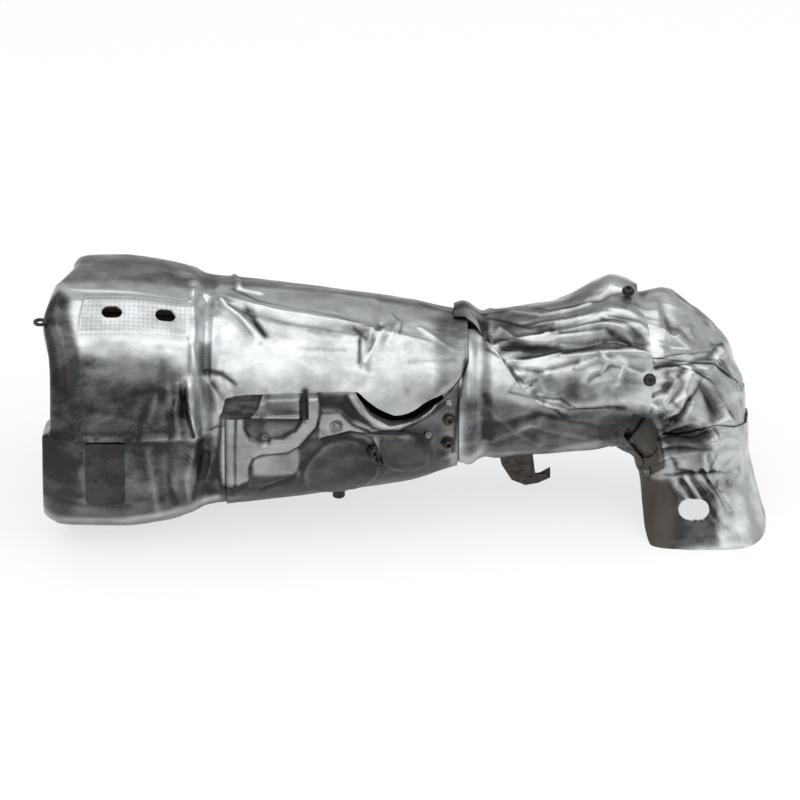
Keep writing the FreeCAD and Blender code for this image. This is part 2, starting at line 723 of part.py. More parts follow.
def fasten(kind, places, names):
    """Fasteners through a stack of sheets, the outermost named first.
    Their holes are drilled in the sheets' solids."""
    made = []
    radius, shank = (RIVET_HEAD, RIVET_SHANK) if kind is rivet else (SCREW_HEAD, SCREW_SHANK)
    for u, e in places:
        outer = sheets[names[0]]
        lowest = min(sheets[name].base(u, e) for name in names)
        point, normal = seat(outer.top, u, e, radius)
        depth = (point - skin(u, e, lowest)).Length
        hole = Part.makeCylinder(shank + HOLE_CLEARANCE, depth + 12.0, point - normal * (depth + 6.0), normal)
        for name in names:
            parts[name] = parts[name].cut(hole)
        made.append(placed(kind(depth), point, normal))
    return Part.makeCompound(made)


def stadium(length, width, height):
    """Slot-shaped cutter along X, centred on the origin."""
    x = 0.5 * (length - width)
    y = 0.5 * width
    top = Part.LineSegment(Vector(-x, y, 0), Vector(x, y, 0)).toShape()
    right = Part.Arc(Vector(x, y, 0), Vector(x + y, 0, 0), Vector(x, -y, 0)).toShape()
    bottom = Part.LineSegment(Vector(x, -y, 0), Vector(-x, -y, 0)).toShape()
    left = Part.Arc(Vector(-x, -y, 0), Vector(-x - y, 0, 0), Vector(-x, y, 0)).toShape()
    face = Part.Face(Part.Wire([top, right, bottom, left]))
    face.translate(Vector(0, 0, -0.5 * height))
    return face.extrude(Vector(0, 0, height))


def facing(point, normal):
    """Placement with Z along the normal and X along the pipe."""
    x = Vector(1, 0, 0) - normal * normal.x
    if x.Length < 0.2:
        x = Vector(0, 0, 1) - normal * normal.z
    x.normalize()
    return FreeCAD.Placement(point, FreeCAD.Rotation(x, normal.cross(x), normal, "ZXY"))


def cut_slot(name, u, e, length, width):
    """Cut a slot lying along the pipe through one sheet."""
    point, normal = seat(sheets[name].top, u, e)
    cutter = stadium(length, width, 16.0)
    cutter.Placement = facing(point, normal)
    parts[name] = parts[name].cut(cutter)


def piece_at(shape, point):
    """The solid of a shape that lies nearest a point."""
    probe = Part.Vertex(point)
    return min(shape.Solids, key=lambda solid: solid.distToShape(probe)[0])


# Tables of the sheets' edges
FOLD_EDGE = [
    (BODY_U, 80.0),
    (PANEL_FROM + 88.0, 72.0),
    (FOLD_END, 67.0),
    (UPPER_END - 6.0, 62.0),
]
STEP_EDGE = [
    (PANEL_FROM + 22.0, -24.0),
    (PANEL_FROM + 30.0, -14.0),
    (PANEL_FROM + 54.0, -12.0),
    (GROOVE_U + 5.0, 0.0),
    (GROOVE_U + 12.0, 12.0),
    (GROOVE_U + 14.0, 40.0),
]
TONGUE_TABLE = [
    (0.0, SEAM_E),
    (NECK_U + 4.0, SEAM_E),
    (PANEL_FROM + 2.0, 24.0),
    (GROOVE_U, 28.0),
    (BOSS_U + 11.0, 29.0),
    (BOSS_U + 22.0, 23.0),
    (SCALLOP_U - 11.0, 16.0),
    (SCALLOP_U - 3.0, 14.0),
    (SCALLOP_U + 9.0, 16.5),
    (SCALLOP_U + 21.0, 22.0),
    (PANEL_END - 9.0, 27.5),
    (UPPER_END - 6.0, 37.0),
    (UPPER_END, 50.0),
]
PANEL_TOP_TABLE = [
    (PANEL_FROM, 15.0),
    (PANEL_FROM + 32.0, 15.0),
    (PANEL_FROM + 39.0, PANEL_TOP_E),
    (BOSS_U + 6.0, PANEL_TOP_E),
    (BOSS_U + 16.0, 24.0),
    (SCALLOP_U - 12.0, 8.0),
    (SCALLOP_U, 5.5),
    (SCALLOP_U + 21.0, 13.0),
    (PANEL_END - 9.0, 22.0),
    (PANEL_END, PANEL_TOP_E),
]
FOIL_TABLE = [
    (WAIST_U - 11.0, 84.0),
    (WAIST_U + 4.0, 71.0),
    (WAIST_U + 18.0, 47.0),
    (WAIST_U + 33.0, 29.0),
    (WAIST_U + 43.0, 14.0),
    (WAIST_U + 51.0, 8.0),
    (WAIST_U + 70.0, 6.0),
    (WAIST_U + 87.0, -2.8),
    (BEND_U + 29.0, -4.5),
]
TUCK_TABLE = [
    (LOWER_SLEEVE_FROM, 84.0),
    (WAIST_U + 4.0, 80.0),
    (WAIST_U + 20.0, 56.0),
    (WAIST_U + 35.0, 38.0),
    (WAIST_U + 51.0, 20.0),
    (WAIST_U + 95.0, 14.0),
]
CAP_TABLE = [
    (BEND_U + 12.0, 40.0),
    (BEND_U + 29.0, 45.0),
    (BEND_U + 54.0, 70.0),
    (BEND_U + 69.0, 82.0),
]
ELBOW_TOP_TABLE = [
    (BEND_U + 12.0, 48.0),
    (BEND_U + 29.0, 53.0),
    (BEND_U + 54.0, 82.0),
    (BEND_U + 62.0, 112.0),
    (CAP_END - 2.0, 166.0),
]

# The sheets, with the stations and angles of their facets
FRONT_ANGLES = spans((SEAM_E, 26.0, 2), (26.0, 54.0, 4), (54.0, 78.0, 4), (78.0, 84.0, 1),
                     (84.0, 120.0, 3), (120.0, BACK_HIGH, 4))
UNDER_ANGLES = spans((BACK_LOW - 360.0, -104.0, 7), (-104.0, -76.0, 2), (-76.0, -60.0, 1))
PAD_STATIONS = spans((PAD_FROM, PAD_FROM + 58.0, 3), (PAD_FROM + 58.0, PAD_FROM + PAD_LENGTH - 1.0, 4))
DRUM_STATIONS = (spans((-END_WALL, 0.0, 2), (0.0, 20.0, 3)) + PAD_STATIONS
                 + spans((NECK_U + 3.0, PANEL_FROM, 5))[:-1])
LAP_STATIONS = spans((PANEL_FROM, PANEL_FROM + DRUM_LAP, 4))
sheets = {
    "upper_shell": Sheet(
        DRUM_STATIONS + LAP_STATIONS
        + spans((PANEL_FROM + DRUM_LAP, PANEL_FROM + 38.0, 4), (PANEL_FROM + 38.0, BOSS_U + 6.0, 4),
                (BOSS_U + 6.0, SCALLOP_U - 7.0, 6), (SCALLOP_U - 7.0, LOWER_SLEEVE_FROM, 4),
                (LOWER_SLEEVE_FROM, UPPER_END, 3))[1:],
        FRONT_ANGLES, upper_lift, SHEET, upper_form, low=tongue_edge, pivot=54.0),
    "drum_lower_shell": Sheet(
        DRUM_STATIONS + LAP_STATIONS,
        UNDER_ANGLES + spans((-52.0, -38.0, 2), (-38.0, SEAM_E + 2 * SEAM_LAP, 4)), 0.0, SHEET, plain_form),
    "side_panel": Sheet(
        LAP_STATIONS
        + spans((PANEL_FROM + DRUM_LAP, PANEL_FROM + 58.0, 8), (PANEL_FROM + 58.0, GROOVE_U + 11.0, 6),
                (GROOVE_U + 11.0, GROOVE_U + 55.0, 8), (GROOVE_U + 55.0, LOWER_SLEEVE_FROM, 8),
                (LOWER_SLEEVE_FROM, PANEL_END, 2))[1:],
        UNDER_ANGLES + spans((-52.0, -38.0, 2), (-38.0, PANEL_TOP_E, 16))[1:],
        SHEET + LAP_GAP, PANEL_SHEET, panel_form, high=panel_top, pivot=-38.0),
    "rear_lower_sleeve": Sheet(
        spans((LOWER_SLEEVE_FROM, UPPER_END, 3), (UPPER_END, WAIST_U + 10.0, 4), (WAIST_U + 10.0, BEND_U, 4),
              (BEND_U, LOWER_SLEEVE_END, 7)),
        spans((BACK_LOW - 360.0, -135.0, 4), (-135.0, -30.0, 12), (-30.0, LOWER_SLEEVE_TOP_E, 6)),
        lower_sleeve_lift, SHEET, plain_form, last=leaf_end, low=lower_sleeve_back, high=lower_sleeve_top,
        pivot=-80.0),
    "rear_upper_sleeve": Sheet(
        spans((WAIST_U - 11.0, WAIST_U + 26.0, 5), (WAIST_U + 26.0, BEND_U, 8),
              (BEND_U, SLEEVE_END_FRONT, 3)),
        spans((-5.0, 35.0, 4), (35.0, 80.0, 12), (80.0, 130.0, 5), (130.0, BACK_HIGH, 5)),
        upper_sleeve_lift, SHEET, sleeve_form, last=sleeve_end, low=foil_edge, high=upper_sleeve_back,
        pivot=90.0),
    "elbow_cap": Sheet(
        spans((BEND_U - 15.0, CAP_END, 11)),
        spans((40.0, 80.0, 12), (80.0, 130.0, 5), (130.0, BACK_HIGH, 5)),
        0.0, SHEET, cap_form, low=cap_edge, pivot=130.0),
    "elbow_front_shell": Sheet(
        spans((BEND_U - 5.0, SLEEVE_END_FRONT, 3), (SLEEVE_END_FRONT, SKIRT_U, 10), (SKIRT_U, ELBOW_END, 2)),
        spans((BACK_LOW - 360.0, -120.0, 3), (-120.0, -26.0, 6), (-26.0, 68.0, 12), (68.0, 166.0, 6)),
        -SHEET - LAP_GAP, SHEET, elbow_form, high=elbow_top, pivot=-40.0),
    "foot_skirt": Sheet(
        spans((SKIRT_U, FOOT_U - 2.0, 2), (FOOT_U - 2.0, FOOT_U + 14.0, 6), (FOOT_U + 14.0, RIM_U, 4)),
        spans((SKIRT_FROM_E, -20.0, 3), (-20.0, 48.0, 15), (48.0, SKIRT_TO_E, 6)),
        0.0, SHEET, skirt_form),
    "insulation_mat": Sheet(
        spans((MAT_FROM, MAT_FROM + MAT_LENGTH, 9)), spans((8.0, 44.0, 8)),
        -MAT_THICKNESS - LAP_GAP, MAT_THICKNESS, mat_form),
    "doubler_pad": Sheet(
        PAD_STATIONS, spans((PAD_E - PAD_HALF_ANGLE + 0.6, PAD_E + PAD_HALF_ANGLE - 0.6, 4)),
        pad_lift, PAD_SHEET, upper_form),
    "lower_plate": Sheet(
        spans((PLATE_U - 0.5 * PLATE_WIDTH, PLATE_U + 0.5 * PLATE_WIDTH, 3)),
        spans((PLATE_LOW_E, PLATE_TOP_E, 8)), SHEET + LAP_GAP, PLATE_SHEET, plain_form),
}
parts = {name: item.solid() for name, item in sheets.items()}


def eyelet():
    """Flat ring on a tab that stands out from the shoulder."""
    root, normal = seat(sheets["upper_shell"].top, EYELET_U, EYELET_E)
    ring_x = root.x - EYELET_OUT
    tab_end = root.x + 6.0
    tab = Part.makeBox(tab_end - ring_x, 1.3 * EYELET_RING, EYELET_SHEET,
                       Vector(ring_x, root.y - 0.65 * EYELET_RING, root.z - 0.5 * EYELET_SHEET))
    centre = Vector(ring_x, root.y, root.z - 0.5 * EYELET_SHEET)
    ring = Part.makeCylinder(EYELET_RING, EYELET_SHEET, centre)
    bore = Part.makeCylinder(EYELET_HOLE, EYELET_SHEET, centre)
    whole = tab.fuse(ring).removeSplitter().cut(bore).cut(parts["upper_shell"])
    return piece_at(whole, centre + Vector(-0.8 * EYELET_RING, 0, 0))


def stud():
    """Pin on a round flange welded under the side panel, pointing down."""
    root, normal = seat(sheets["side_panel"].top, PANEL_FROM + STUD_FROM_EDGE, STUD_E)
    under = Vector(root.x, root.y, root.z - STUD_FLANGE)
    length = STUD_LENGTH + STUD_CHAMFER
    end = Vector(root.x, root.y, under.z - length)
    pin = Part.makeCylinder(STUD_RADIUS, length, end)
    pin = pin.makeChamfer(STUD_CHAMFER, [pin.Edges[2]])
    flange = Part.makeCylinder(STUD_FLANGE_RADIUS, 3 * STUD_FLANGE, under)
    return piece_at(pin.fuse(flange).removeSplitter().cut(parts["side_panel"]), end)


def hook():
    """Folded hook: a web that faces the front, with one edge turned back."""
    root, normal = seat(sheets["rear_lower_sleeve"].top, WAIST_U + HOOK_FROM_WAIST, HOOK_E)
    edge = [(-12.0, 6.0), (-9.0, -8.0), (-1.0, -22.0), (10.0, -27.0), (20.0, -25.0), (30.0, -20.0)]
    back = [(26.0, -16.5), (18.0, -17.0), (16.0, 0.0), (16.0, 6.0)]
    start = Vector(root.x, root.y, root.z)
    outline = [start + Vector(x, 0, z) for x, z in edge + back]
    web = Part.Face(Part.makePolygon(outline + [outline[0]])).extrude(Vector(0, HOOK_SHEET, 0))
    inside = [(x + 0.8 * HOOK_SHEET, z + HOOK_SHEET) for x, z in edge[:-1]]
    inside.append((edge[-1][0], edge[-1][1] + HOOK_SHEET))
    strip = [start + Vector(x, 0, z) for x, z in edge + inside[::-1]]
    turned = Part.Face(Part.makePolygon(strip + [strip[0]])).extrude(Vector(0, HOOK_DEPTH, 0))
    whole = web.fuse(turned).removeSplitter().cut(parts["rear_lower_sleeve"])
    return piece_at(whole, start + Vector(10.0, 0, -27.0))


# Slots and holes
for k in range(2):
    for name in ("doubler_pad", "upper_shell"):
        cut_slot(name, SLOT_FROM + k * SLOT_SPACING, PAD_E, SLOT_LENGTH, SLOT_WIDTH)
for k in range(2):
    cut_slot("drum_lower_shell", VENT_U + k * VENT_SPACING, VENT_E, VENT_WIDTH, 0.98 * VENT_WIDTH)
hole_u = RIM_U - HOLE_Z
point, normal = seat(sheets["foot_skirt"].top, hole_u, HOLE_E)
cutter = stadium(HOLE_LENGTH, HOLE_HEIGHT, 24.0)
cutter.Placement = facing(point, normal)
parts["foot_skirt"] = parts["foot_skirt"].cut(cutter)

# Fasteners
parts["plate_rivets"] = fasten(rivet, [(PLATE_U - 9.0, -13.4), (PLATE_U + 9.0, -19.0)],
                               ["lower_plate", "drum_lower_shell"])
through_panel = fasten(rivet, [(PANEL_FROM + 31.0, 4.0), (GROOVE_U + 23.5, 8.0), (PANEL_END - 24.0, -2.0)],
                       ["side_panel"])
through_lap = fasten(rivet, [(PANEL_END - 7.0, 19.0)], ["side_panel", "rear_lower_sleeve"])
parts["panel_rivets"] = Part.makeCompound(through_panel.Solids + through_lap.Solids)
parts["panel_screws"] = fasten(screw, [(PANEL_END - 7.5, 7.0), (PANEL_END - 8.5, -13.0)],
                               ["side_panel", "rear_lower_sleeve"])
parts["boss_screw"] = fasten(screw, [(BOSS_U + 24.0, -10.0)], ["side_panel"])
top_screw = fasten(screw, [(BEND_U + 7.0, 94.0)], ["rear_upper_sleeve", "elbow_cap"])
front_screw = fasten(screw, [(BEND_U + 22.0, 26.0)], ["rear_upper_sleeve", "elbow_front_shell"])
parts["sleeve_screws"] = Part.makeCompound(top_screw.Solids + front_screw.Solids)
parts["sleeve_rivet"] = fasten(rivet, [(WAIST_U + 41.0, 28.0)], ["rear_upper_sleeve", "rear_lower_sleeve"])
parts["elbow_rivet"] = fasten(rivet, [(BEND_U + 54.0, 75.0)], ["elbow_cap", "elbow_front_shell"])
parts["rosette_rivet"] = fasten(rivet, [(FOOT_U + 5.0, 34.0)], ["foot_skirt"])
parts["leaf_rivet"] = fasten(rivet, [(FOOT_U - 0.5, -46.5)], ["rear_lower_sleeve", "foot_skirt"])
on_drum = fasten(rivet, [(NECK_U - 73.0, BACK_SEAM_E), (NECK_U - 23.0, BACK_SEAM_E)],
                 ["upper_shell", "drum_lower_shell"])
on_body = fasten(rivet, [(PANEL_FROM + 42.0, BACK_SEAM_E), (PANEL_FROM + 122.0, BACK_SEAM_E)],
                 ["upper_shell", "side_panel"])
on_sleeve = fasten(rivet, [(WAIST_U + 27.0, BACK_SEAM_E)], ["rear_upper_sleeve", "rear_lower_sleeve"])
parts["back_seam_rivets"] = Part.makeCompound(on_drum.Solids + on_body.Solids + on_sleeve.Solids)
parts["eyelet_tab"] = eyelet()
parts["bottom_stud"] = stud()
parts["hook_bracket"] = hook()

# The origin is under the middle of the whole, on the floor
whole = Part.makeCompound(list(parts.values())).BoundBox
shift = Vector(-whole.Center.x, -whole.Center.y, -whole.ZMin)
for name, shape in parts.items():
    shape.translate(shift)
    shape.exportStep("parts/" + name + ".step")
    print(name, shape.isValid(), len(shape.Solids), round(shape.Volume))
print("shift", shift)
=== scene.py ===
"""Looks of an exhaust heat shield: each sheet is laid again, finely, on the
same skin as its solid, with its creases, pressed forms, dots, soiling and painted light and shade."""
import bpy
import math
import numpy as np
from functools import lru_cache
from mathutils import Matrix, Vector


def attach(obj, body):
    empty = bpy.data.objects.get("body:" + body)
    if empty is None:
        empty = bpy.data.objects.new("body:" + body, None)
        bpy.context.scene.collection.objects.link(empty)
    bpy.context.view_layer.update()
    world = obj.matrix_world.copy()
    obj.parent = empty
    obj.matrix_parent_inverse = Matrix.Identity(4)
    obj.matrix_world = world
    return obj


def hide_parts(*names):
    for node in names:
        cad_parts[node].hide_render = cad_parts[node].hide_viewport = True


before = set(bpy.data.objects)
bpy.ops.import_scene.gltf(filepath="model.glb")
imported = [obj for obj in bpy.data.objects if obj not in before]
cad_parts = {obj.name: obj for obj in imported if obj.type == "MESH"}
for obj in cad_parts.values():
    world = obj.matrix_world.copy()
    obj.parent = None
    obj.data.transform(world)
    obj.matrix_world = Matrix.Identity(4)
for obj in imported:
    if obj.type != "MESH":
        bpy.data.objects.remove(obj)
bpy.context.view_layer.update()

# The skin of part.py, in millimetres: u along the pipe, e round it in degrees
SHEET = 1.0
PANEL_SHEET = 1.2
LAP_GAP = 0.6
SHIFT = (-283.5532, -0.1581, 0.0)
DRUM_LENGTH = 115.0
NECK_LENGTH = 22.0
BODY_LENGTH = 208.0
SLEEVE_LENGTH = 106.0
BEND_RADIUS = 66.0
INLET_OPENING = 62.0
DRUM_HALF = 99.5
NECK_HALF = 84.5
BODY_HALF = 75.0
WAIST_HALF = 56.0
SLEEVE_HALF = 58.0
BEND_HALF = 55.0
FOOT_HALF = 44.0
FOOT_RIM_HALF = 46.0
FLOOR_FLAT = 1.6
SLEEVE_RISE = 8.0
BEND_RISE = 16.0
SLEEVE_BACK = 8.0
ELBOW_FORWARD = 10.0
FOOT_FORWARD = 36.0
FOOT_OUT = 11.0
END_SLANT = 17.0
SEAM_E = 6.6
BACK_LOW = 172.0
BACK_HIGH = 180.0
PAD_E = 66.0
PAD_HALF_ANGLE = 12.0
PAD_FROM = 26.0
PAD_LENGTH = 89.0
NECK_U = DRUM_LENGTH
BODY_U = NECK_U + NECK_LENGTH
WAIST_U = BODY_U + BODY_LENGTH
BEND_U = WAIST_U + SLEEVE_LENGTH
FOOT_U = BEND_U + BEND_RADIUS * math.pi / 2
AXIS_Z = DRUM_HALF - FLOOR_FLAT + SHEET
FOOT_DROP = AXIS_Z + BEND_RISE - BEND_RADIUS
RIM_U = FOOT_U + FOOT_DROP
END_WALL = DRUM_HALF - INLET_OPENING
PANEL_FROM = NECK_U + 27.0
PANEL_END = PANEL_FROM + 186.0
BOSS_U = PANEL_FROM + 92.0
SECOND_BOSS_U = PANEL_FROM + 149.0
GROOVE_U = PANEL_FROM + 65.0
SCALLOP_U = PANEL_FROM + 140.0
FOLD_END = PANEL_FROM + 120.0
UPPER_END = WAIST_U - 9.0
COLLAR_U = UPPER_END + 2.0
LOWER_SLEEVE_FROM = WAIST_U - 29.0
LOWER_SLEEVE_END = BEND_U + 19.0
SLEEVE_END_TOP = BEND_U + 11.0
SLEEVE_END_FRONT = BEND_U + 33.0
CAP_END = BEND_U + 73.0
SKIRT_U = FOOT_U - 17.0
ELBOW_END = SKIRT_U + 10.0
LEAF_END = FOOT_U + 5.0

HALF_TABLE = [
    (-END_WALL, INLET_OPENING), (-0.45 * END_WALL, INLET_OPENING + 0.55 * END_WALL), (0.0, DRUM_HALF - 6.0),
    (9.0, DRUM_HALF - 1.2), (20.0, DRUM_HALF), (0.52 * DRUM_LENGTH, DRUM_HALF),
    (0.8 * DRUM_LENGTH, DRUM_HALF - 4.0), (NECK_U, DRUM_HALF - 10.0),
    (NECK_U + 0.5 * NECK_LENGTH, NECK_HALF + 0.5), (BODY_U, NECK_HALF - 0.5),
    (BODY_U + 0.2 * BODY_LENGTH, NECK_HALF - 4.0), (BODY_U + 0.45 * BODY_LENGTH, BODY_HALF),
    (BODY_U + 0.72 * BODY_LENGTH, BODY_HALF - 7.0), (BODY_U + 0.9 * BODY_LENGTH, WAIST_HALF + 3.0),
    (WAIST_U, WAIST_HALF), (WAIST_U + 0.17 * SLEEVE_LENGTH, SLEEVE_HALF - 1.0),
    (WAIST_U + 0.6 * SLEEVE_LENGTH, SLEEVE_HALF), (BEND_U, SLEEVE_HALF + 3.0),
    (0.5 * (BEND_U + FOOT_U), BEND_HALF), (FOOT_U, FOOT_HALF), (RIM_U, FOOT_RIM_HALF)]
X_TABLE = [(-END_WALL, 3.0), (-0.45 * END_WALL, 0.5), (0.0, 0.0), (9.0, 6.0), (20.0, 19.0), (30.0, 30.0),
           (BEND_U, BEND_U)]
SQUARE_TABLE = [(-END_WALL, 2.0), (0.0, 2.5), (NECK_U, 2.6), (BODY_U, 2.4), (WAIST_U, 2.1), (BEND_U, 2.1),
                (FOOT_U, 2.6), (RIM_U, 3.2)]
LEAN_TABLE = [(-END_WALL, 88.0), (-0.45 * END_WALL, 88.0), (0.0, 62.0), (9.0, 22.0), (20.0, 4.0), (30.0, 0.0)]
RISE_TABLE = [(-END_WALL, 0.0), (BODY_U + 0.7 * BODY_LENGTH, 0.0), (WAIST_U, 0.35 * SLEEVE_RISE),
              (WAIST_U + 0.6 * SLEEVE_LENGTH, SLEEVE_RISE), (BEND_U, BEND_RISE)]
BACK_TABLE = [(-END_WALL, 0.0), (BODY_U + 0.7 * BODY_LENGTH, 0.0), (BEND_U, SLEEVE_BACK),
              (FOOT_U, -ELBOW_FORWARD), (RIM_U, -FOOT_FORWARD)]
FOLD_EDGE = [(BODY_U, 80.0), (PANEL_FROM + 88.0, 72.0), (FOLD_END, 67.0), (UPPER_END - 6.0, 62.0)]


def after(start, *pairs):
    """A table with its stations measured from start."""
    return [(start + u, value) for u, value in pairs]


TONGUE = [(0, SEAM_E), (NECK_U + 7, SEAM_E), (NECK_U + 18, 11), (NECK_U + 24, 19)]
TONGUE += after(PANEL_FROM, (0, 26), (20, 27.5), (65, 28.5), (103, 29), (114, 23), (129, 16), (137, 14),
                (149, 16.5), (161, 22), (177, 27.5), (188, 37), (194, 50))
PANEL_TOP = after(PANEL_FROM, (0, 15), (18, 15.5), (25, 20), (29, 27), (33, 34), (98, 34), (107, 24),
                  (122, 13), (134, 9.5), (148, 11), (164, 17.5), (177, 24), (186, 34))
FOIL = after(WAIST_U, (-20, 100), (-11, 90), (-4, 84), (3, 73), (18, 50), (33, 28), (43, 16), (51, 10),
             (70, 5), (87, 0), (116, -2), (135, -4))
TUCK = after(WAIST_U, (-29, 84), (4, 80), (20, 56), (35, 38), (51, 20), (95, 14))
CAP_EDGE = after(BEND_U, (12, 40), (29, 45), (54, 70), (69, 82))
ELBOW_TOP = after(BEND_U, (12, 48), (29, 53), (54, 82), (62, 112), (71, 166))


def along(table, u):
    """Smooth monotone value of a station table at u, for arrays."""
    xs = np.array([p[0] for p in table])
    ys = np.array([p[1] for p in table])
    step = np.diff(ys) / np.diff(xs)
    slopes = np.empty(len(xs))
    slopes[0] = step[0]
    slopes[-1] = step[-1]
    for i in range(1, len(xs) - 1):
        a, b = step[i - 1], step[i]
        slopes[i] = 0.0 if a * b <= 0 else 2 * a * b / (a + b)
    u = np.clip(u, xs[0], xs[-1])
    k = np.clip(np.searchsorted(xs, u) - 1, 0, len(xs) - 2)
    w = xs[k + 1] - xs[k]
    t = (u - xs[k]) / w
    t2 = t * t
    t3 = t2 * t
    return ((2 * t3 - 3 * t2 + 1) * ys[k] + (t3 - 2 * t2 + t) * w * slopes[k]
            + (3 * t2 - 2 * t3) * ys[k + 1] + (t3 - t2) * w * slopes[k + 1])


def bell(x, centre, width):
    return np.exp(-((x - centre) / width) ** 2)


def ramp(x, low, high):
    t = np.clip((x - low) / (high - low), 0.0, 1.0)
    return t * t * (3 - 2 * t)


def window(x, low, high, soft):
    return ramp(x, low - soft, low) * (1 - ramp(x, high, high + soft))


def round_radius(u, e):
    power = along(SQUARE_TABLE, u)
    c = np.abs(np.cos(np.radians(e)))
    s = np.abs(np.sin(np.radians(e)))
    return along(HALF_TABLE, u) / (c ** power + s ** power) ** (1 / power)


def flat_cut(e, facing, radius, distance):
    turned = np.cos(np.radians(e - facing))
    return np.where(turned < 0.7, radius, np.minimum(radius, distance / np.maximum(turned, 0.7)))


def skin_radius(u, e):
    radius = round_radius(u, e)
    pad_here = window(u, PAD_FROM, PAD_FROM + PAD_LENGTH, 10)
    reach = round_radius(u, PAD_E) * math.cos(math.radians(PAD_HALF_ANGLE))
    radius = radius + pad_here * (flat_cut(e, PAD_E, radius, reach) - radius)
    floor_here = window(u, 16, PAD_FROM + PAD_LENGTH, 12)
    flat = flat_cut(e, -90, radius, along(HALF_TABLE, u) - FLOOR_FLAT)
    flat = flat_cut(e, 270, flat, along(HALF_TABLE, u) - FLOOR_FLAT)
    radius = radius + floor_here * (flat - radius)
    here = window(e, -30, 84, 8)
    rib = 4 * bell(u, NECK_U + 2, 5) - 3.5 * bell(u, NECK_U + 0.5 * NECK_LENGTH, 5)
    raised = 4 * bell(u, COLLAR_U, 5) - 1.6 * bell(u, COLLAR_U + 13, 5)
    return radius + here * rib + raised * (1 - ramp(e, 60, 90)) * ramp(e, -180, -150)


def skin(u, e, lift):
    """Points of the skin, raised by lift, in the pipe's millimetres."""
    turn = np.clip((u - BEND_U) / BEND_RADIUS, 0, math.pi / 2)
    past = np.maximum(0, u - FOOT_U)
    straight = u <= BEND_U
    bent = BEND_U + BEND_RADIUS * np.sin(turn) + FOOT_OUT * past / FOOT_DROP
    x = np.where(straight, along(X_TABLE, u), bent)
    z = AXIS_Z + along(RISE_TABLE, u) - BEND_RADIUS * (1 - np.cos(turn)) - past
    lean = np.radians(along(LEAN_TABLE, u))
    out = skin_radius(u, e) + lift * np.cos(lean)
    up = out * np.sin(np.radians(e))
    front = -out * np.cos(np.radians(e))
    x = x + END_SLANT * (1 - ramp(u, 0, 50)) * (ramp(e, 56, 88) + ramp(-e, 42, 68))
    x = x - lift * np.sin(lean) + up * np.sin(turn)
    return np.stack([x, along(BACK_TABLE, u) + front, z + up * np.cos(turn)], axis=-1)


def per_degree(u):
    return along(HALF_TABLE, u) * math.pi / 180


def crease(u, e, start, end, width, power=2):
    """1 on a line from start to end, falling to 0 beside it."""
    scale = per_degree(u)
    ax = end[0] - start[0]
    ay = (end[1] - start[1]) * scale
    bx = u - start[0]
    by = (e - start[1]) * scale
    t = np.clip((ax * bx + ay * by) / (ax * ax + ay * ay + 1e-9), 0, 1)
    away = np.hypot(bx - t * ax, by - t * ay)
    return np.exp(-(away / width) ** power)


def lump(u, e, at, length, breadth):
    return bell(u, at[0], length) * bell((e - at[1]) * per_degree(u), 0, breadth)


# Seeded noise on the skin
LATTICE = np.random.RandomState(11).rand(256, 256)


def noise(x, y, shift=0):
    xi = np.floor(x).astype(int)
    yi = np.floor(y).astype(int)
    fx = x - xi
    fy = y - yi
    fx = fx * fx * (3 - 2 * fx)
    fy = fy * fy * (3 - 2 * fy)

    def value(i, j):
        return LATTICE[(xi + i + shift) % 256, (yi + j + 3 * shift) % 256]

    return ((value(0, 0) * (1 - fx) + value(1, 0) * fx) * (1 - fy)
            + (value(0, 1) * (1 - fx) + value(1, 1) * fx) * fy)


def ridged(u, v, size, shift):
    """Sharp ridges with smooth hollows between them, from -1 to 1."""
    return 1 - 4 * np.abs(noise(u / size, v / size, shift) - 0.5)


PIXEL = 0.8
ORIGIN_PX = (46, 400)
ORIGIN_HEIGHT = 77.9
TO_CAMERA = np.array([0, -0.866, 0.5])
SCREEN_UP = (0, 0.5, 0.866)


def photo_px(points):
    """Where points of the pipe's frame lie in the photograph's frame."""
    height = SCREEN_UP[2] * points[..., 2] + SCREEN_UP[1] * points[..., 1]
    return ORIGIN_PX[0] + points[..., 0] / PIXEL, ORIGIN_PX[1] - (height - ORIGIN_HEIGHT) / PIXEL


# A grid on the skin, in which the places of the photograph are looked up
GRID_U, GRID_E = np.meshgrid(np.arange(-8, RIM_U, 1), np.arange(-75, 128, 0.7), indexing="ij")
GRID_P = skin(GRID_U, GRID_E, 2)
GRID_N = np.cross(np.gradient(GRID_P, axis=0), np.gradient(GRID_P, axis=1))
GRID_N *= np.sign(np.sum(GRID_N * (GRID_P - skin(GRID_U, GRID_E, -20)), axis=-1, keepdims=True))
FACES = (GRID_N @ TO_CAMERA) > 0
GRID_X, GRID_Y = photo_px(GRID_P)
DEPTH = GRID_P @ TO_CAMERA
NEARER = 0.004
UNSEEN = 1e6


@lru_cache(maxsize=None)
def at(px, py):
    """The place on the skin, (u, e), seen at a point of the photograph."""
    away = np.hypot(GRID_X - px, GRID_Y - py) - NEARER * DEPTH + np.where(FACES, 0, UNSEEN)
    k = np.unravel_index(np.argmin(away), away.shape)
    return float(GRID_U[k]), float(GRID_E[k])


def seen_at(flat):
    """Places on the skin for x, y, x, y... of the photograph."""
    return [at(x, y) for x, y in zip(flat[::2], flat[1::2])]


def marks(u, e, lines):
    """Sum of creases given as (height, width, x, y, x, y...)."""
    total = np.zeros_like(u)
    for height, width, *points in lines:
        places = seen_at(points)
        best = np.zeros_like(u)
        for a, b in zip(places, places[1:]):
            best = np.maximum(best, crease(u, e, a, b, width, 1.5))
        total += height * best
    return total


def spots(u, e, places):
    """Sum of round marks given as (height, length, breadth, x, y)."""
    total = np.zeros_like(u)
    for height, length, breadth, px, py in places:
        total += height * lump(u, e, at(px, py), length, breadth)
    return total


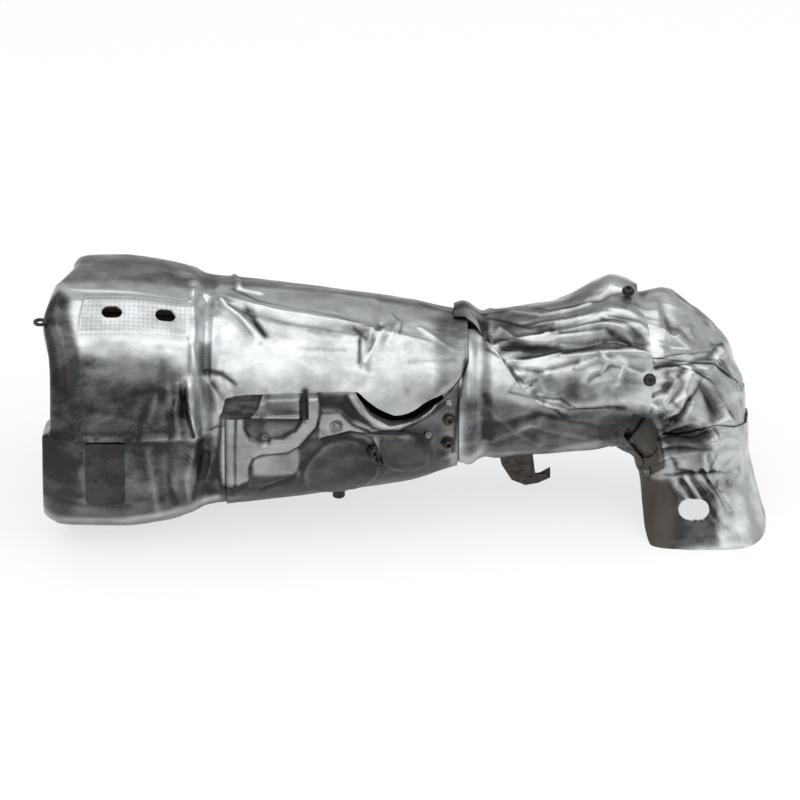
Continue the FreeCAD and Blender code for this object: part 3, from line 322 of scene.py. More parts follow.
def patch(u, e, outline, soft):
    """1 inside an outline (x, y, x, y...) of the photograph, 0 outside it, with a soft border."""
    places = seen_at(outline)
    scale = per_degree(u)
    inside = np.zeros(u.shape, dtype=bool)
    away = np.full(u.shape, 1e9)
    for (u0, e0), (u1, e1) in zip(places, places[1:] + places[:1]):
        crosses = (e0 > e) != (e1 > e)
        slant = (u1 - u0) / (e1 - e0 if e1 != e0 else 1e-9)
        inside ^= crosses & (u < u0 + (e - e0) * slant)
        ax = u1 - u0
        ay = (e1 - e0) * scale
        bx = u - u0
        by = (e - e0) * scale
        t = np.clip((ax * bx + ay * by) / (ax * ax + ay * ay + 1e-9), 0, 1)
        away = np.minimum(away, np.hypot(bx - t * ax, by - t * ay))
    return ramp(np.where(inside, away, -away), -soft, soft)


def areas(u, e, places):
    """Sum of patches of the front, given as (strength, border, x, y, x, y...)."""
    total = np.zeros_like(u)
    for strength, soft, *outline in places:
        total += strength * patch(u, e, outline, soft)
    return total * (1 - ramp(e, 100, 110))


# Forms of the sheets
AMPLITUDE = [(-END_WALL, 0.1), (20, 0.25), (95, 0.4), (NECK_U, 0.6), (BODY_U, 0.5), (250, 0.45),
             (UPPER_END, 0.7), (WAIST_U + 20, 1), (BEND_U - 40, 0.9), (BEND_U + 40, 1.8),
             (SKIRT_U - 10, 1.8), (FOOT_U, 0.6), (RIM_U, 0.5)]


def common(u, e):
    """Wrinkles that every sheet shares, so that laps stay apart."""
    v = 1.2 * e
    here = (1 - ramp(e, 150, 168)) * ramp(e, -180, -160)
    height = 0.5 * ridged(0.7 * u, v, 33, 1) + 0.35 * ridged(u, v, 15, 2) + 0.15 * ridged(u, v, 6.5, 3)
    return along(AMPLITUDE, u) * here * height


UPPER_MARKS = [
    (0.9, 3, 52, 288, 80, 290, 190, 303), (0.8, 2.5, 68, 336, 120, 337, 190, 340),
    (2, 3.2, 207, 300, 240, 320, 260, 344), (-2.2, 3.2, 250, 312, 267, 343),
    (1.2, 2.4, 207, 300, 285, 318, 367, 330), (-1, 2.6, 215, 307, 285, 324, 360, 336),
    (-1.2, 1.8, 360, 342, 361, 368), (2.2, 2.4, 388, 330, 365, 364), (-1.4, 2, 380, 328, 370, 350),
    (1.6, 2.2, 400, 325, 388, 345), (1.2, 3, 385, 335, 430, 345), (2.2, 2, 236, 270, 240, 296),
    (1.8, 2, 240, 296, 262, 300), (1.6, 3, 195, 350, 205, 400, 206, 436), (1.2, 2.6, 215, 320, 213, 380),
    (-1.6, 1.8, 208, 372, 222, 375, 236, 385), (1.6, 2.2, 206, 378, 218, 396, 222, 410),
    (-2.6, 2, 185, 392, 186, 412, 194, 434), (2.4, 1.8, 190, 388, 192, 410, 199, 436),
    (-2.2, 1.8, 176, 400, 172, 420, 173, 438), (1.8, 2, 180, 384, 178, 410, 181, 438),
    (-1.6, 2.4, 150, 400, 143, 422, 140, 440), (1.2, 2, 158, 396, 152, 420),
    (-1.4, 2, 100, 425, 118, 421, 130, 430), (1, 2.4, 66, 300, 63, 360, 66, 430),
    (0.9, 2, 420, 330, 452, 352), (-0.8, 2.4, 300, 350, 345, 352), (0.8, 2.6, 225, 360, 232, 392),
    (-0.8, 2.6, 410, 365, 455, 362)]
UPPER_SPOTS = [
    (3, 5, 4, 371, 337), (3, 5, 6, 196, 288), (2, 8, 5, 186, 278), (-2.6, 8, 8, 180, 415),
    (-1.2, 14, 6, 108, 432), (-0.8, 9, 14, 150, 400), (-1, 9, 7, 243, 340), (0.8, 12, 10, 410, 345)]
DRUM_MARKS = [
    (1.4, 2.6, 150, 450, 156, 490, 160, 515), (-1.4, 2.4, 172, 445, 170, 480, 176, 505),
    (1.6, 2, 196, 450, 188, 480, 190, 500), (-1.8, 2, 206, 452, 200, 478, 196, 500),
    (1.4, 2, 214, 455, 206, 490, 206, 500), (-1, 3, 52, 500, 68, 506, 130, 508)]
SLEEVE_MARKS = [
    (-3, 2.6, 482, 338, 500, 347, 530, 349, 560, 344, 640, 347),
    (2.2, 2.6, 556, 331, 600, 318, 622, 321, 640, 328), (2.2, 2, 545, 336, 590, 326, 618, 330, 634, 345),
    (-1.8, 2, 560, 334, 606, 330, 626, 344), (1.8, 2, 540, 345, 590, 342, 640, 352),
    (2.4, 2.2, 470, 330, 492, 346, 520, 342, 548, 337), (-2.4, 2.4, 478, 320, 488, 345, 500, 362),
    (2, 2.4, 500, 330, 520, 345, 552, 345), (1.8, 2, 505, 362, 530, 360, 560, 352),
    (-1.8, 2, 512, 368, 540, 372, 575, 362), (1.8, 2, 560, 356, 610, 352, 644, 354),
    (1.6, 2, 575, 368, 600, 358, 630, 372), (-1.4, 2.4, 590, 380, 612, 366, 640, 372),
    (1.8, 2, 598, 352, 606, 362, 601, 372), (1.6, 2, 612, 352, 622, 366, 616, 384),
    (2.2, 2, 540, 404, 556, 406, 568, 416, 604, 415), (-2.2, 2, 536, 397, 560, 399, 575, 410, 606, 410),
    (1.6, 2, 486, 300, 500, 312, 540, 316, 590, 305), (-1.6, 2.6, 500, 306, 545, 310, 600, 302, 625, 296),
    (1.2, 2.4, 560, 300, 600, 290, 630, 278), (-1.2, 2.4, 520, 325, 560, 320, 600, 312, 620, 314)]
SLEEVE_SPOTS = [
    (2.4, 6, 5, 516, 376), (2, 5, 4, 524, 388), (-2.2, 4, 3, 506, 388), (-2.2, 4, 4, 534, 392),
    (1.8, 4, 5, 545, 372), (-2, 7, 5, 500, 352), (1.6, 16, 8, 580, 385)]
ELBOW_MARKS = [
    (2.8, 2.6, 664, 332, 674, 338, 688, 330), (-2.4, 2.6, 662, 345, 690, 350, 712, 345),
    (2.8, 2.4, 655, 362, 685, 356, 716, 350), (-3.2, 2.4, 655, 367, 690, 362, 712, 356),
    (-2.8, 2.4, 668, 374, 690, 370, 704, 374), (3, 2.2, 692, 372, 712, 385, 733, 425),
    (2.6, 2.2, 690, 368, 684, 395, 668, 408), (-3.4, 3, 705, 388, 715, 400, 722, 412),
    (2.8, 2.2, 656, 384, 668, 380, 676, 368), (2.8, 2, 645, 404, 656, 410, 668, 396, 676, 380),
    (-3, 2, 650, 398, 662, 392, 670, 378), (3, 2, 664, 418, 676, 412, 684, 398),
    (-3, 2, 672, 424, 684, 414, 690, 400), (2.6, 2.2, 666, 432, 686, 424, 704, 428, 732, 420),
    (-2.4, 2.2, 660, 440, 690, 440, 704, 434), (2.6, 2.2, 664, 446, 700, 446, 716, 440),
    (2.6, 2.4, 716, 350, 728, 366, 738, 390), (2.4, 2.2, 722, 352, 708, 370),
    (2, 2.4, 668, 300, 690, 312, 710, 335), (-1.8, 2.8, 655, 300, 668, 322, 672, 350),
    (2, 2.4, 645, 285, 656, 310, 662, 335, 660, 360), (-2, 2.4, 690, 310, 712, 322, 722, 340)]
ELBOW_SPOTS = [
    (-2.6, 5, 4, 684, 333), (1.8, 3, 3, 690, 336), (2.4, 9, 8, 697, 430), (-2.4, 8, 9, 714, 402),
    (2.4, 6, 5, 738, 376), (2, 6, 5, 676, 410)]
FOOT_MARKS = [
    (2, 1.7, 676, 484, 688, 502), (-1.8, 1.5, 680, 480, 692, 499), (2, 1.7, 685, 478, 700, 498),
    (-1.8, 1.5, 691, 476, 704, 494), (2, 1.7, 696, 474, 710, 493), (-1.8, 1.5, 702, 472, 714, 488),
    (1.8, 1.7, 706, 470, 722, 500, 730, 512), (1.6, 2.2, 712, 490, 722, 510, 724, 524),
    (-1.4, 2, 704, 500, 718, 522, 722, 535), (1.4, 2, 698, 494, 712, 520),
    (1.6, 2, 716, 446, 724, 437, 737, 440, 736, 452, 718, 474, 712, 456, 716, 446),
    (1.4, 2.2, 640, 463, 668, 456, 700, 452, 738, 450), (-1.4, 2.2, 664, 476, 700, 472, 738, 466),
    (2, 2.2, 664, 446, 700, 449, 716, 444), (-2, 2.4, 668, 456, 676, 470, 690, 474),
    (1.8, 2, 706, 440, 704, 456, 706, 470)]
FOOT_SPOTS = [(1.8, 4.5, 4.5, 738, 472), (-1.4, 7, 7, 724, 486), (1, 14, 5, 738, 529), (1.4, 7, 6, 684, 462)]
PANEL_FIELD = [239, 390, 320, 390, 321, 410, 317, 426, 302, 443, 289, 450, 262, 452, 253, 456, 250, 464, 251,
               484, 237, 489]
PANEL_LEDGE = [236, 388, 302, 388, 302, 413, 236, 413]
PANEL_RECESS = [246, 418, 303, 418, 301, 424, 296, 430, 284, 437, 262, 439, 251, 436, 246, 428]
PANEL_GROOVE = [301, 390, 308, 390, 308, 418, 301, 418]
PANEL_RIGHT = [320, 412, 341, 413, 353, 424, 370, 432, 408, 432, 422, 435, 431, 450, 426, 462, 400, 466, 384,
               462, 372, 436, 350, 430, 320, 438]
PANEL_SEATS = [(264.5, 436.5), (336.5, 426.5), (428, 434.5), (448.5, 403), (448.5, 417), (446, 443)]
PANEL_MARKS = [
    (2, 1.8, 322, 411, 341, 411, 352, 421, 370, 427),
    (1.8, 1.8, 349, 394, 362, 412, 376, 424, 400, 426, 424, 414, 446, 398),
    (1.6, 2, 372, 430, 396, 424, 420, 416, 434, 410, 462, 408),
    (-1.6, 1.8, 341, 434, 356, 432, 408, 433, 422, 436, 431, 451), (-1.6, 1.6, 262, 487, 295, 476, 303, 462),
    (1.4, 2, 452, 400, 448, 420, 443, 450), (-1.2, 1.6, 381, 440, 380, 462)]


UPPER_CREASES = [
    (3, 3.5, (BODY_U, 80), (PANEL_FROM + 32, 56)), (-1, 3, (FOLD_END - 8, 62), (FOLD_END - 6, 42)),
    (2, 4, (NECK_U - 17, 30), (NECK_U - 9, 12)), (2, 4, (NECK_U - 3, 34), (NECK_U + 3, 12))]
FOLD_HEIGHT = 3
HEM_HEIGHT = 2.2


def upper_form(u, e):
    edge = along(FOLD_EDGE, u)
    here = window(u, BODY_U + 2, FOLD_END - 4, 8)
    form = FOLD_HEIGHT * here * ramp(e, edge - 3, edge + 0.5) * (1 - ramp(e, edge + 14, 120))
    for height, width, start, end in UPPER_CREASES:
        form += height * crease(u, e, start, end, width)
    form += 3 * lump(u, e, (FOLD_END, 66), 6, 5) + 3 * lump(u, e, (NECK_U + 2, 84), 6, 6)
    on_pad = window(u, PAD_FROM, PAD_FROM + PAD_LENGTH - 4, 4)
    on_pad = on_pad * window(e, PAD_E - PAD_HALF_ANGLE, PAD_E + PAD_HALF_ANGLE, 2)
    form += (marks(u, e, UPPER_MARKS) + spots(u, e, UPPER_SPOTS)) * (1 - on_pad)
    form += HEM_HEIGHT * (1 - ramp(e, SEAM_E + 0.5, SEAM_E + 5)) * (1 - ramp(u, NECK_U - 10, NECK_U))
    over_panel = ramp(e, 38, 30) * ramp(u, PANEL_FROM - 4, PANEL_FROM)
    low = (1 - ramp(e, 14, 20)) * (1 - ramp(u, NECK_U, NECK_U + 6))
    return np.where(form < 0, form * (1 - over_panel) * (1 - 0.6 * low), form)


PANEL_AREAS = [(3.8, 1.4, PANEL_FIELD), (-1.6, 1, PANEL_LEDGE), (-3.2, 1, PANEL_RECESS),
               (-4.5, 1.2, PANEL_GROOVE), (2.2, 1.4, PANEL_RIGHT)]
BOSS_E = -24
BOSS_HEIGHT = 3.4
BOSS_BORDER = (28.5, 31)
SECOND_BOSS_E = -16
SECOND_BOSS_HEIGHT = 1.5
SECOND_BOSS_BORDER = (16, 23)
BEAD_HEIGHT = 3.6
ROLL_HEIGHT = 1.8
SEAT_BORDER = (4, 7)


def panel_form(u, e):
    per = per_degree(u)
    boss = 1 - ramp(np.hypot(u - BOSS_U, (e - BOSS_E) * per), *BOSS_BORDER)
    from_second = np.hypot(0.9 * (u - SECOND_BOSS_U), (e - SECOND_BOSS_E) * per)
    form = BOSS_HEIGHT * boss + SECOND_BOSS_HEIGHT * (1 - ramp(from_second, *SECOND_BOSS_BORDER)) * (1 - boss)
    form += BEAD_HEIGHT * bell(u, PANEL_FROM + 5.5, 5) * ramp(e, -44, -34)
    for height, soft, outline in PANEL_AREAS:
        form += height * patch(u, e, outline, soft) * (1 - boss)
    form += marks(u, e, PANEL_MARKS)
    top = along(PANEL_TOP, u)
    rolled = ROLL_HEIGHT * bell(e, top - 4.5, 3) - 3.5 * ramp(e, top - 2, top)
    rolled = rolled * window(u, SCALLOP_U - 26, SCALLOP_U + 22, 6)
    clear = ramp(e, -75, -58) * (1 - ramp(u, LOWER_SLEEVE_FROM - 9, LOWER_SLEEVE_FROM - 3))
    tongue = along(TONGUE, u)
    clear = np.where(form > 0, clear * (1 - ramp(e, tongue - 4, tongue - 1.5)), clear)
    for x, y in PANEL_SEATS:
        su, se = at(x, y)
        clear = clear * ramp(np.hypot(u - su, (e - se) * per), *SEAT_BORDER)
    return form * clear + rolled - 2 * ramp(e, tongue + 1, tongue + 3)


CORNER_RISE = 10
WING_RISE = 6


def sleeve_form(u, e):
    long_fold = window(u, WAIST_U + 38, BEND_U + 8, 12)
    form = long_fold * (3.5 * bell(e, 61, 5) - 4 * bell(e, 50, 5))
    short_fold = window(u, WAIST_U + 50, BEND_U + 4, 10)
    form += short_fold * (2.5 * bell(e, 75, 4) - 2 * bell(e, 68, 4))
    corner = ramp(u, WAIST_U + 56, BEND_U) * bell(e, 114, 16)
    form += CORNER_RISE * corner * (1 - 0.5 * ramp(u, BEND_U, BEND_U + 14))
    form += WING_RISE * bell(u, WAIST_U - 12, 9) * bell(e, 112, 18)
    form += 3 * lump(u, e, (WAIST_U + 58, 14), 9, 8)
    return form + marks(u, e, SLEEVE_MARKS) + spots(u, e, SLEEVE_SPOTS)


def crumple(u, e):
    """Crumpled metal of the elbow, the same in every sheet there."""
    form = marks(u, e, ELBOW_MARKS) + spots(u, e, ELBOW_SPOTS)
    form -= 5 * lump(u, e, (BEND_U + 64, 46), 11, 12)
    form += 3 * lump(u, e, (BEND_U + 70, 94), 12, 14)
    return form * ramp(e, -40, -26) * (1 - ramp(u, SKIRT_U - 9, SKIRT_U - 1))


CROWN_RISE = 7.5
CROWN_START_RISE = 3
CROWN_E = 112


def cap_form(u, e):
    """The cap's crown, and its hidden strip below the sleeve's end."""
    form = CROWN_RISE * window(u, BEND_U + 24, BEND_U + 54, 14) * bell(e, CROWN_E, 22)
    form += CROWN_START_RISE * bell(u, BEND_U + 23, 7) * bell(e, CROWN_E, 20)
    form *= ramp(e, 52, 70)
    form += marks(u, e, ELBOW_MARKS) + spots(u, e, ELBOW_SPOTS)
    form *= ramp(u, BEND_U + 9, BEND_U + 20)
    return form - 6 * (1 - ramp(u, sleeve_end(e) - 5, sleeve_end(e) - 1))


def elbow_form(u, e):
    cap_edge = along(CAP_EDGE, u)
    under_cap = ramp(e, cap_edge + 1, cap_edge + 4) * (1 - ramp(u, CAP_END - 2, CAP_END))
    under_sleeve = 1 - ramp(u, sleeve_end(e) - 4, sleeve_end(e) - 1)
    hidden = np.clip(under_cap + under_sleeve, 0, 1)
    under_skirt = ramp(u, skirt_start(e) + 1, skirt_start(e) + 4)
    return crumple(u, e) * (1 - hidden) - 4 * hidden - 2 * under_skirt * (1 - hidden)


FLARE = 6


def skirt_form(u, e):
    form = 2 * lump(u, e, (FOOT_U + 5, 34), 10, 10) + 0.6 * bell(u, skirt_start(e), 3)
    form += (marks(u, e, FOOT_MARKS) + spots(u, e, FOOT_SPOTS)) * ramp(u, SKIRT_U - 16, SKIRT_U)
    form += crumple(u, e) + FLARE * ramp(u, RIM_U - 34, RIM_U) * (1 - ramp(e, -52, -24))
    return form + 0.8 * bell(u, RIM_U, 3)


def drum_dip(u, e):
    return 4 * (1 - ramp(u, 18, 32)) * ramp(u, 0, 14) * window(e, -30, 3, 14)


def drum_form(u, e):
    form = -2 * ramp(e, SEAM_E + 1, SEAM_E + 3) - 2.5 * ramp(u, PANEL_FROM, PANEL_FROM + 3)
    form += 1.4 * crease(u, e, (12, -50), (105, -50), 3) - drum_dip(u, e)
    clear = (1 - ramp(e, 2, 5)) * (1 - ramp(u, PANEL_FROM - 4, PANEL_FROM))
    return form + marks(u, e, DRUM_MARKS) * clear


LOWER_SLEEVE_MARKS = [(1.4, 2.6, 486, 440, 530, 425, 600, 440), (-1.4, 2.6, 490, 425, 540, 415, 600, 428),
                      (1.4, 2.6, 480, 400, 500, 420, 540, 445)]


def lower_sleeve_form(u, e):
    foil_edge = along(FOIL, u)
    form = -3 * (1 - ramp(u, PANEL_END - 2, PANEL_END + 1)) - 3 * ramp(e, foil_edge + 1, foil_edge + 4)
    clear = (1 - ramp(e, foil_edge - 2, foil_edge + 1)) * ramp(u, UPPER_END + 6, WAIST_U + 6)
    return form + marks(u, e, LOWER_SLEEVE_MARKS) * clear


def mat_form(u, e):
    return 0.8 * ridged(u, 1.2 * e, 9, 5) + 0.4 * ridged(u, 1.2 * e, 4, 6) - 1.6


def sleeve_end(e):
    return along([(-5, SLEEVE_END_FRONT), (20, SLEEVE_END_FRONT - 8), (90, SLEEVE_END_TOP)], e)


def leaf_end(e):
    return along([(-135, LOWER_SLEEVE_END), (-112, LEAF_END), (-56, LEAF_END), (-34, LEAF_END - 10),
                  (-26, LEAF_END - 20), (-18, LEAF_END - 42), (-6, LEAF_END - 70),
                  (8, LOWER_SLEEVE_END)], e)


def back_turn(u):
    return 12 * ramp(u, BEND_U - 36, BEND_U - 15)


def upper_lift(u):
    return along([(NECK_U - 20, SHEET + LAP_GAP), (PANEL_FROM, SHEET + PANEL_SHEET + 2 * LAP_GAP)], u)


def upper_sleeve_lift(u):
    over_upper = upper_lift(u) + SHEET + LAP_GAP
    where = ramp(u, UPPER_END + 2, UPPER_END + 14)
    return over_upper + where * (SHEET + LAP_GAP - over_upper)


def lower_sleeve_lift(u):
    return (SHEET + LAP_GAP) * ramp(u, LOWER_SLEEVE_END + 10, SKIRT_U - 12)


# Soiling and painted shade: 0 clean, 1 brown and dull
STAINS = [
    (0.5, 2.5, 2.5, 330, 333), (0.5, 2.5, 3.5, 407, 390), (0.25, 30, 5, 110, 350), (0.25, 16, 10, 108, 432),
    (0.3, 10, 22, 66, 380), (0.3, 14, 6, 250, 385), (0.35, 10, 5, 300, 380), (0.25, 16, 6, 345, 360),
    (0.3, 8, 6, 430, 395), (0.3, 12, 10, 500, 420), (0.3, 14, 6, 560, 430), (0.4, 9, 9, 683, 333),
    (0.4, 12, 10, 716, 402), (0.3, 10, 12, 668, 385), (0.3, 9, 9, 724, 486)]
# The angle at which the darker top begins, along the pipe
TOP_SHADE = [(0, 83), (NECK_U - 10, 85), (BODY_U, 92), (WAIST_U, 97)]
# Brown places, partly brown soiling and partly painted shade on faces turned down or away, as outlines on the
# photograph
BROWN_AND_SHADE_AREAS = [
    (0.35, 4, 630, 436, 648, 424, 658, 449, 660, 467, 642, 480, 626, 470),
    (0.4, 3, 630, 478, 668, 480, 674, 500, 670, 550, 650, 550, 634, 520),
    (0.3, 8, 230, 492, 300, 484, 340, 486, 380, 474, 448, 456, 448, 470, 340, 496, 230, 506),
    (0.25, 8, 484, 430, 600, 424, 640, 430, 640, 470, 484, 460),
    (0.3, 6, 310, 440, 378, 440, 440, 440, 440, 462, 340, 488, 300, 480),
    (0.2, 8, 44, 446, 120, 446, 130, 520, 52, 512)]
# Painted light and shade: outlines on the photograph with their strength and soft border; positive strengths
# darken, negative ones paint lighter places as highlights
PAINTED_LIGHT_AND_SHADE = [
    (0.66, 8, 40, 353, 100, 355, 172, 359, 184, 380, 186, 436, 40, 440),
    (0.15, 6, 40, 380, 180, 384, 190, 436, 40, 440), (-0.18, 5, 138, 394, 180, 396, 182, 436, 138, 436),
    (0.8, 4, 36, 288, 70, 292, 76, 300, 76, 350, 68, 380, 68, 436, 36, 436),
    (0.3, 4, 36, 350, 66, 350, 70, 436, 36, 436),
    (0.72, 5, 40, 438, 215, 438, 222, 495, 200, 500, 60, 518, 40, 500),
    (0.9, 3, 40, 441, 86, 441, 84, 462, 76, 478, 86, 496, 60, 500, 44, 490),
    (-0.07, 4, 88, 440, 200, 446, 200, 490, 130, 510, 60, 514, 56, 500, 88, 500),
    (0.45, 4, 203, 345, 212, 345, 218, 380, 214, 436, 206, 440),
    (0.12, 6, 178, 366, 200, 372, 206, 436, 176, 436),
    (0.2, 5, 243, 310, 255, 310, 268, 338, 262, 344, 250, 332),
    (0.5, 7, 434, 322, 466, 312, 470, 376, 438, 390),
    (-0.22, 8, 244, 294, 300, 300, 380, 314, 380, 330, 300, 320, 244, 312),
    (-0.3, 6, 372, 386, 430, 386, 422, 404, 396, 411, 374, 404),
    (0.62, 6, 464, 398, 480, 398, 478, 450, 460, 458), (0.5, 3, 479, 300, 485, 300, 492, 440, 481, 440),
    (0.32, 8, 486, 296, 640, 290, 640, 316, 560, 324, 490, 334),
    (0.6, 5, 484, 396, 505, 400, 540, 408, 560, 414, 650, 412, 652, 440, 560, 448, 484, 452),
    (0.3, 5, 490, 336, 560, 346, 560, 356, 510, 360), (0.38, 5, 535, 374, 578, 380, 578, 400, 545, 396),
    (0.2, 5, 560, 372, 640, 376, 640, 404, 570, 400), (-0.8, 5, 645, 280, 690, 288, 694, 314, 650, 316),
    (-0.3, 5, 560, 292, 612, 272, 642, 274, 642, 300, 580, 300),
    (-0.08, 6, 656, 366, 690, 366, 700, 384, 668, 410, 650, 420),
    (0.3, 4, 674, 328, 692, 328, 694, 338, 676, 340),
    (0.8, 5, 652, 414, 690, 418, 712, 430, 706, 450, 664, 450),
    (-0.9, 4, 654, 338, 706, 334, 708, 350, 656, 356), (0.25, 6, 700, 392, 728, 410, 734, 426, 706, 412),
    (0.8, 3, 630, 478, 668, 480, 676, 500, 672, 550, 650, 550, 634, 520),
    (0.6, 8, 672, 478, 714, 486, 720, 540, 672, 550), (0.3, 5, 664, 452, 706, 446, 706, 472, 664, 476),
    (1, 4, 628, 436, 648, 424, 658, 449, 660, 467, 642, 480, 626, 470),
    (0.68, 2, 300, 446, 310, 438, 337, 434, 364, 438, 380, 452, 378, 470, 340, 490, 300, 484),
    (0.3, 2, 298, 430, 322, 426, 340, 434, 312, 438, 298, 452),
    (0.5, 3, 380, 434, 424, 436, 448, 450, 448, 468, 340, 492, 376, 472),
    (0.75, 3, 222, 488, 238, 479, 252, 475, 296, 473, 340, 486, 400, 470, 450, 458, 450, 474, 340, 500, 222,
     512), (0.35, 3, 400, 416, 424, 400, 464, 384, 456, 452, 430, 440, 400, 430),
    (-0.35, 2.5, 240, 438, 250, 436, 249, 474, 240, 478),
    (-0.35, 2.5, 256, 458, 297, 456, 292, 468, 256, 470),
    (-0.15, 2, 303, 400, 318, 396, 314, 426, 288, 448, 252, 448, 290, 438),
    (0.3, 2, 262, 396, 304, 396, 304, 412, 250, 412),
    (0.38, 2, 246, 419, 302, 419, 295, 430, 284, 437, 262, 438, 247, 427),
    (0.25, 5, 340, 434, 380, 430, 404, 426, 440, 420, 452, 452, 380, 480),
    (0.18, 6, 512, 366, 580, 372, 600, 402, 560, 402, 520, 386),
    (0.35, 5, 500, 326, 600, 326, 640, 336, 640, 342, 500, 338),
    (0.6, 5, 600, 420, 652, 420, 656, 440, 640, 480, 600, 456),
    (0.6, 3, 322, 394, 347, 394, 356, 408, 368, 424, 352, 420, 342, 410, 322, 410),
    (-0.8, 8, 716, 436, 740, 432, 762, 530, 722, 536, 722, 500),
    (0.4, 4, 672, 514, 716, 512, 720, 550, 672, 552)]
# Painted shadows in creases and along edges, and one painted light line of negative strength: strength, width
# and points on the photograph
DARK_LINES = [
    (0.6, 1.3, 234, 296, 260, 307, 296, 314, 335, 321, 368, 332, 379, 335),
    (0.35, 2.2, 246, 310, 256, 323, 266, 338), (0.6, 1.4, 360, 339, 359, 364),
    (0.5, 1.4, 354, 331, 361, 337, 367, 341), (0.4, 1, 392, 316, 402, 326, 400, 337),
    (0.25, 2, 340, 338, 310, 333, 322, 336), (0.6, 1.6, 210, 372, 225, 374, 237, 385),
    (0.45, 1.6, 213, 384, 225, 397), (0.45, 1.6, 185, 390, 186, 408, 195, 434),
    (0.4, 1.6, 191, 404, 197, 420, 195, 436), (0.5, 1.4, 171, 416, 173, 438), (0.3, 3, 165, 362, 162, 396),
    (0.6, 2.5, 98, 436, 112, 428, 129, 428, 130, 438), (0.8, 1.6, 50, 441, 130, 443, 203, 441),
    (0.95, 1.8, 223, 414, 221, 440, 219, 470, 223, 489), (0.55, 2, 217, 450, 214, 474, 206, 490),
    (0.55, 1.4, 198, 447, 208, 464, 203, 492), (0.8, 2, 158, 446, 160, 450), (0.8, 2, 172, 446, 176, 451),
    (0.45, 1.4, 170, 450, 174, 470), (0.8, 1.2, 465, 362, 463, 381, 458, 405, 453, 451),
    (0.9, 1.1, 226, 413, 264, 414, 303, 413), (0.7, 1.2, 320, 412, 341, 412, 353, 423, 368, 430),
    (0.8, 1.1, 245, 418, 303, 418, 296, 430, 284, 437, 262, 439, 251, 437, 245, 426, 245, 418),
    (1, 2.4, 306, 391, 306, 419),
    (0.9, 1.4, 251, 484, 250, 464, 253, 457, 262, 453, 289, 451, 301, 443, 317, 426, 321, 412, 320, 394),
    (0.7, 1.1, 341, 433, 356, 431, 408, 432, 422, 435, 432, 450), (0.9, 2, 418, 440, 427, 447),
    (0.7, 1.4, 347, 396, 358, 414, 372, 427, 400, 429, 424, 417, 446, 402),
    (-0.8, 3, 356, 398, 366, 412, 380, 420, 400, 420, 420, 410, 444, 394),
    (0.6, 1.2, 224, 489, 241, 481, 268, 480, 294, 474), (0.4, 1.8, 237, 416, 236, 450, 238, 484),
    (0.55, 2, 496, 341, 535, 349, 580, 350, 616, 349, 646, 344), (0.45, 1.2, 601, 320, 622, 325, 643, 341),
    (0.45, 1.4, 490, 320, 532, 330, 552, 326), (0.45, 1.4, 472, 320, 487, 325, 485, 340),
    (0.35, 1.2, 560, 352, 600, 344, 630, 350),
    (0.55, 1.2, 487, 350, 505, 362, 517, 380, 508, 392, 532, 398, 559, 404, 568, 410, 583, 408, 624, 408),
    (0.5, 1.2, 512, 372, 524, 384, 536, 380), (0.6, 1.6, 541, 404, 552, 408, 565, 418),
    (0.8, 1, 656, 360, 689, 355, 710, 352, 719, 347),
    (0.6, 1, 653, 368, 677, 365, 701, 374, 712, 381, 735, 418), (0.7, 2, 672, 402, 680, 410),
    (0.6, 1.2, 689, 401, 698, 386, 701, 374), (0.5, 1.2, 664, 392, 672, 380, 682, 372),
    (0.3, 1.2, 653, 431, 677, 437, 707, 428, 734, 428), (0.55, 1.2, 713, 428, 722, 440, 716, 452, 710, 467),
    (0.8, 1.1, 674, 474, 713, 471, 737, 472), (0.6, 1, 679, 482, 690, 496), (0.6, 1, 690, 480, 701, 494),
    (0.6, 1, 700, 480, 712, 496), (0.6, 1.2, 708, 482, 720, 498, 724, 512),
    (0.8, 1, 650, 424, 661, 449, 663, 467, 644, 481, 636, 482),
    (0.55, 0.9, 732, 486, 730, 491, 724, 493, 718, 491, 716, 486, 718, 480, 724, 478, 730, 481, 732, 486)]


def grime_and_shade_at(u, e):
    """Brown on the skin: painted shade on the undersides, the top and the foot's low part, brown places that
    are partly painted shade, single stains and random soiling.
    """
    # Painted shade: the undersides, the top and the foot's low part are drawn browner
    total = 0.30 * (1 - ramp(e, -60, -20)) + 0.16 * ramp(e, 80, 110)
    total += 0.35 * window(u, FOOT_U - 20, RIM_U, 12) * (1 - ramp(e, -34, -12))
    total += spots(u, e, STAINS)
    total += areas(u, e, BROWN_AND_SHADE_AREAS)
    v = 1.2 * e
    total += 0.2 * (noise(u / 30, v / 22, 7) - 0.45) + 0.2 * (noise(u / 11, v / 8, 9) - 0.5)
    return np.clip(total, 0, 1)


# Painted shade: how much darker the top, the body's top and the undersides are drawn
TOP_TONE = 0.42
BODY_TOP_TONE = 0.12
UNDER_TONE = 0.6
BLURS = 14


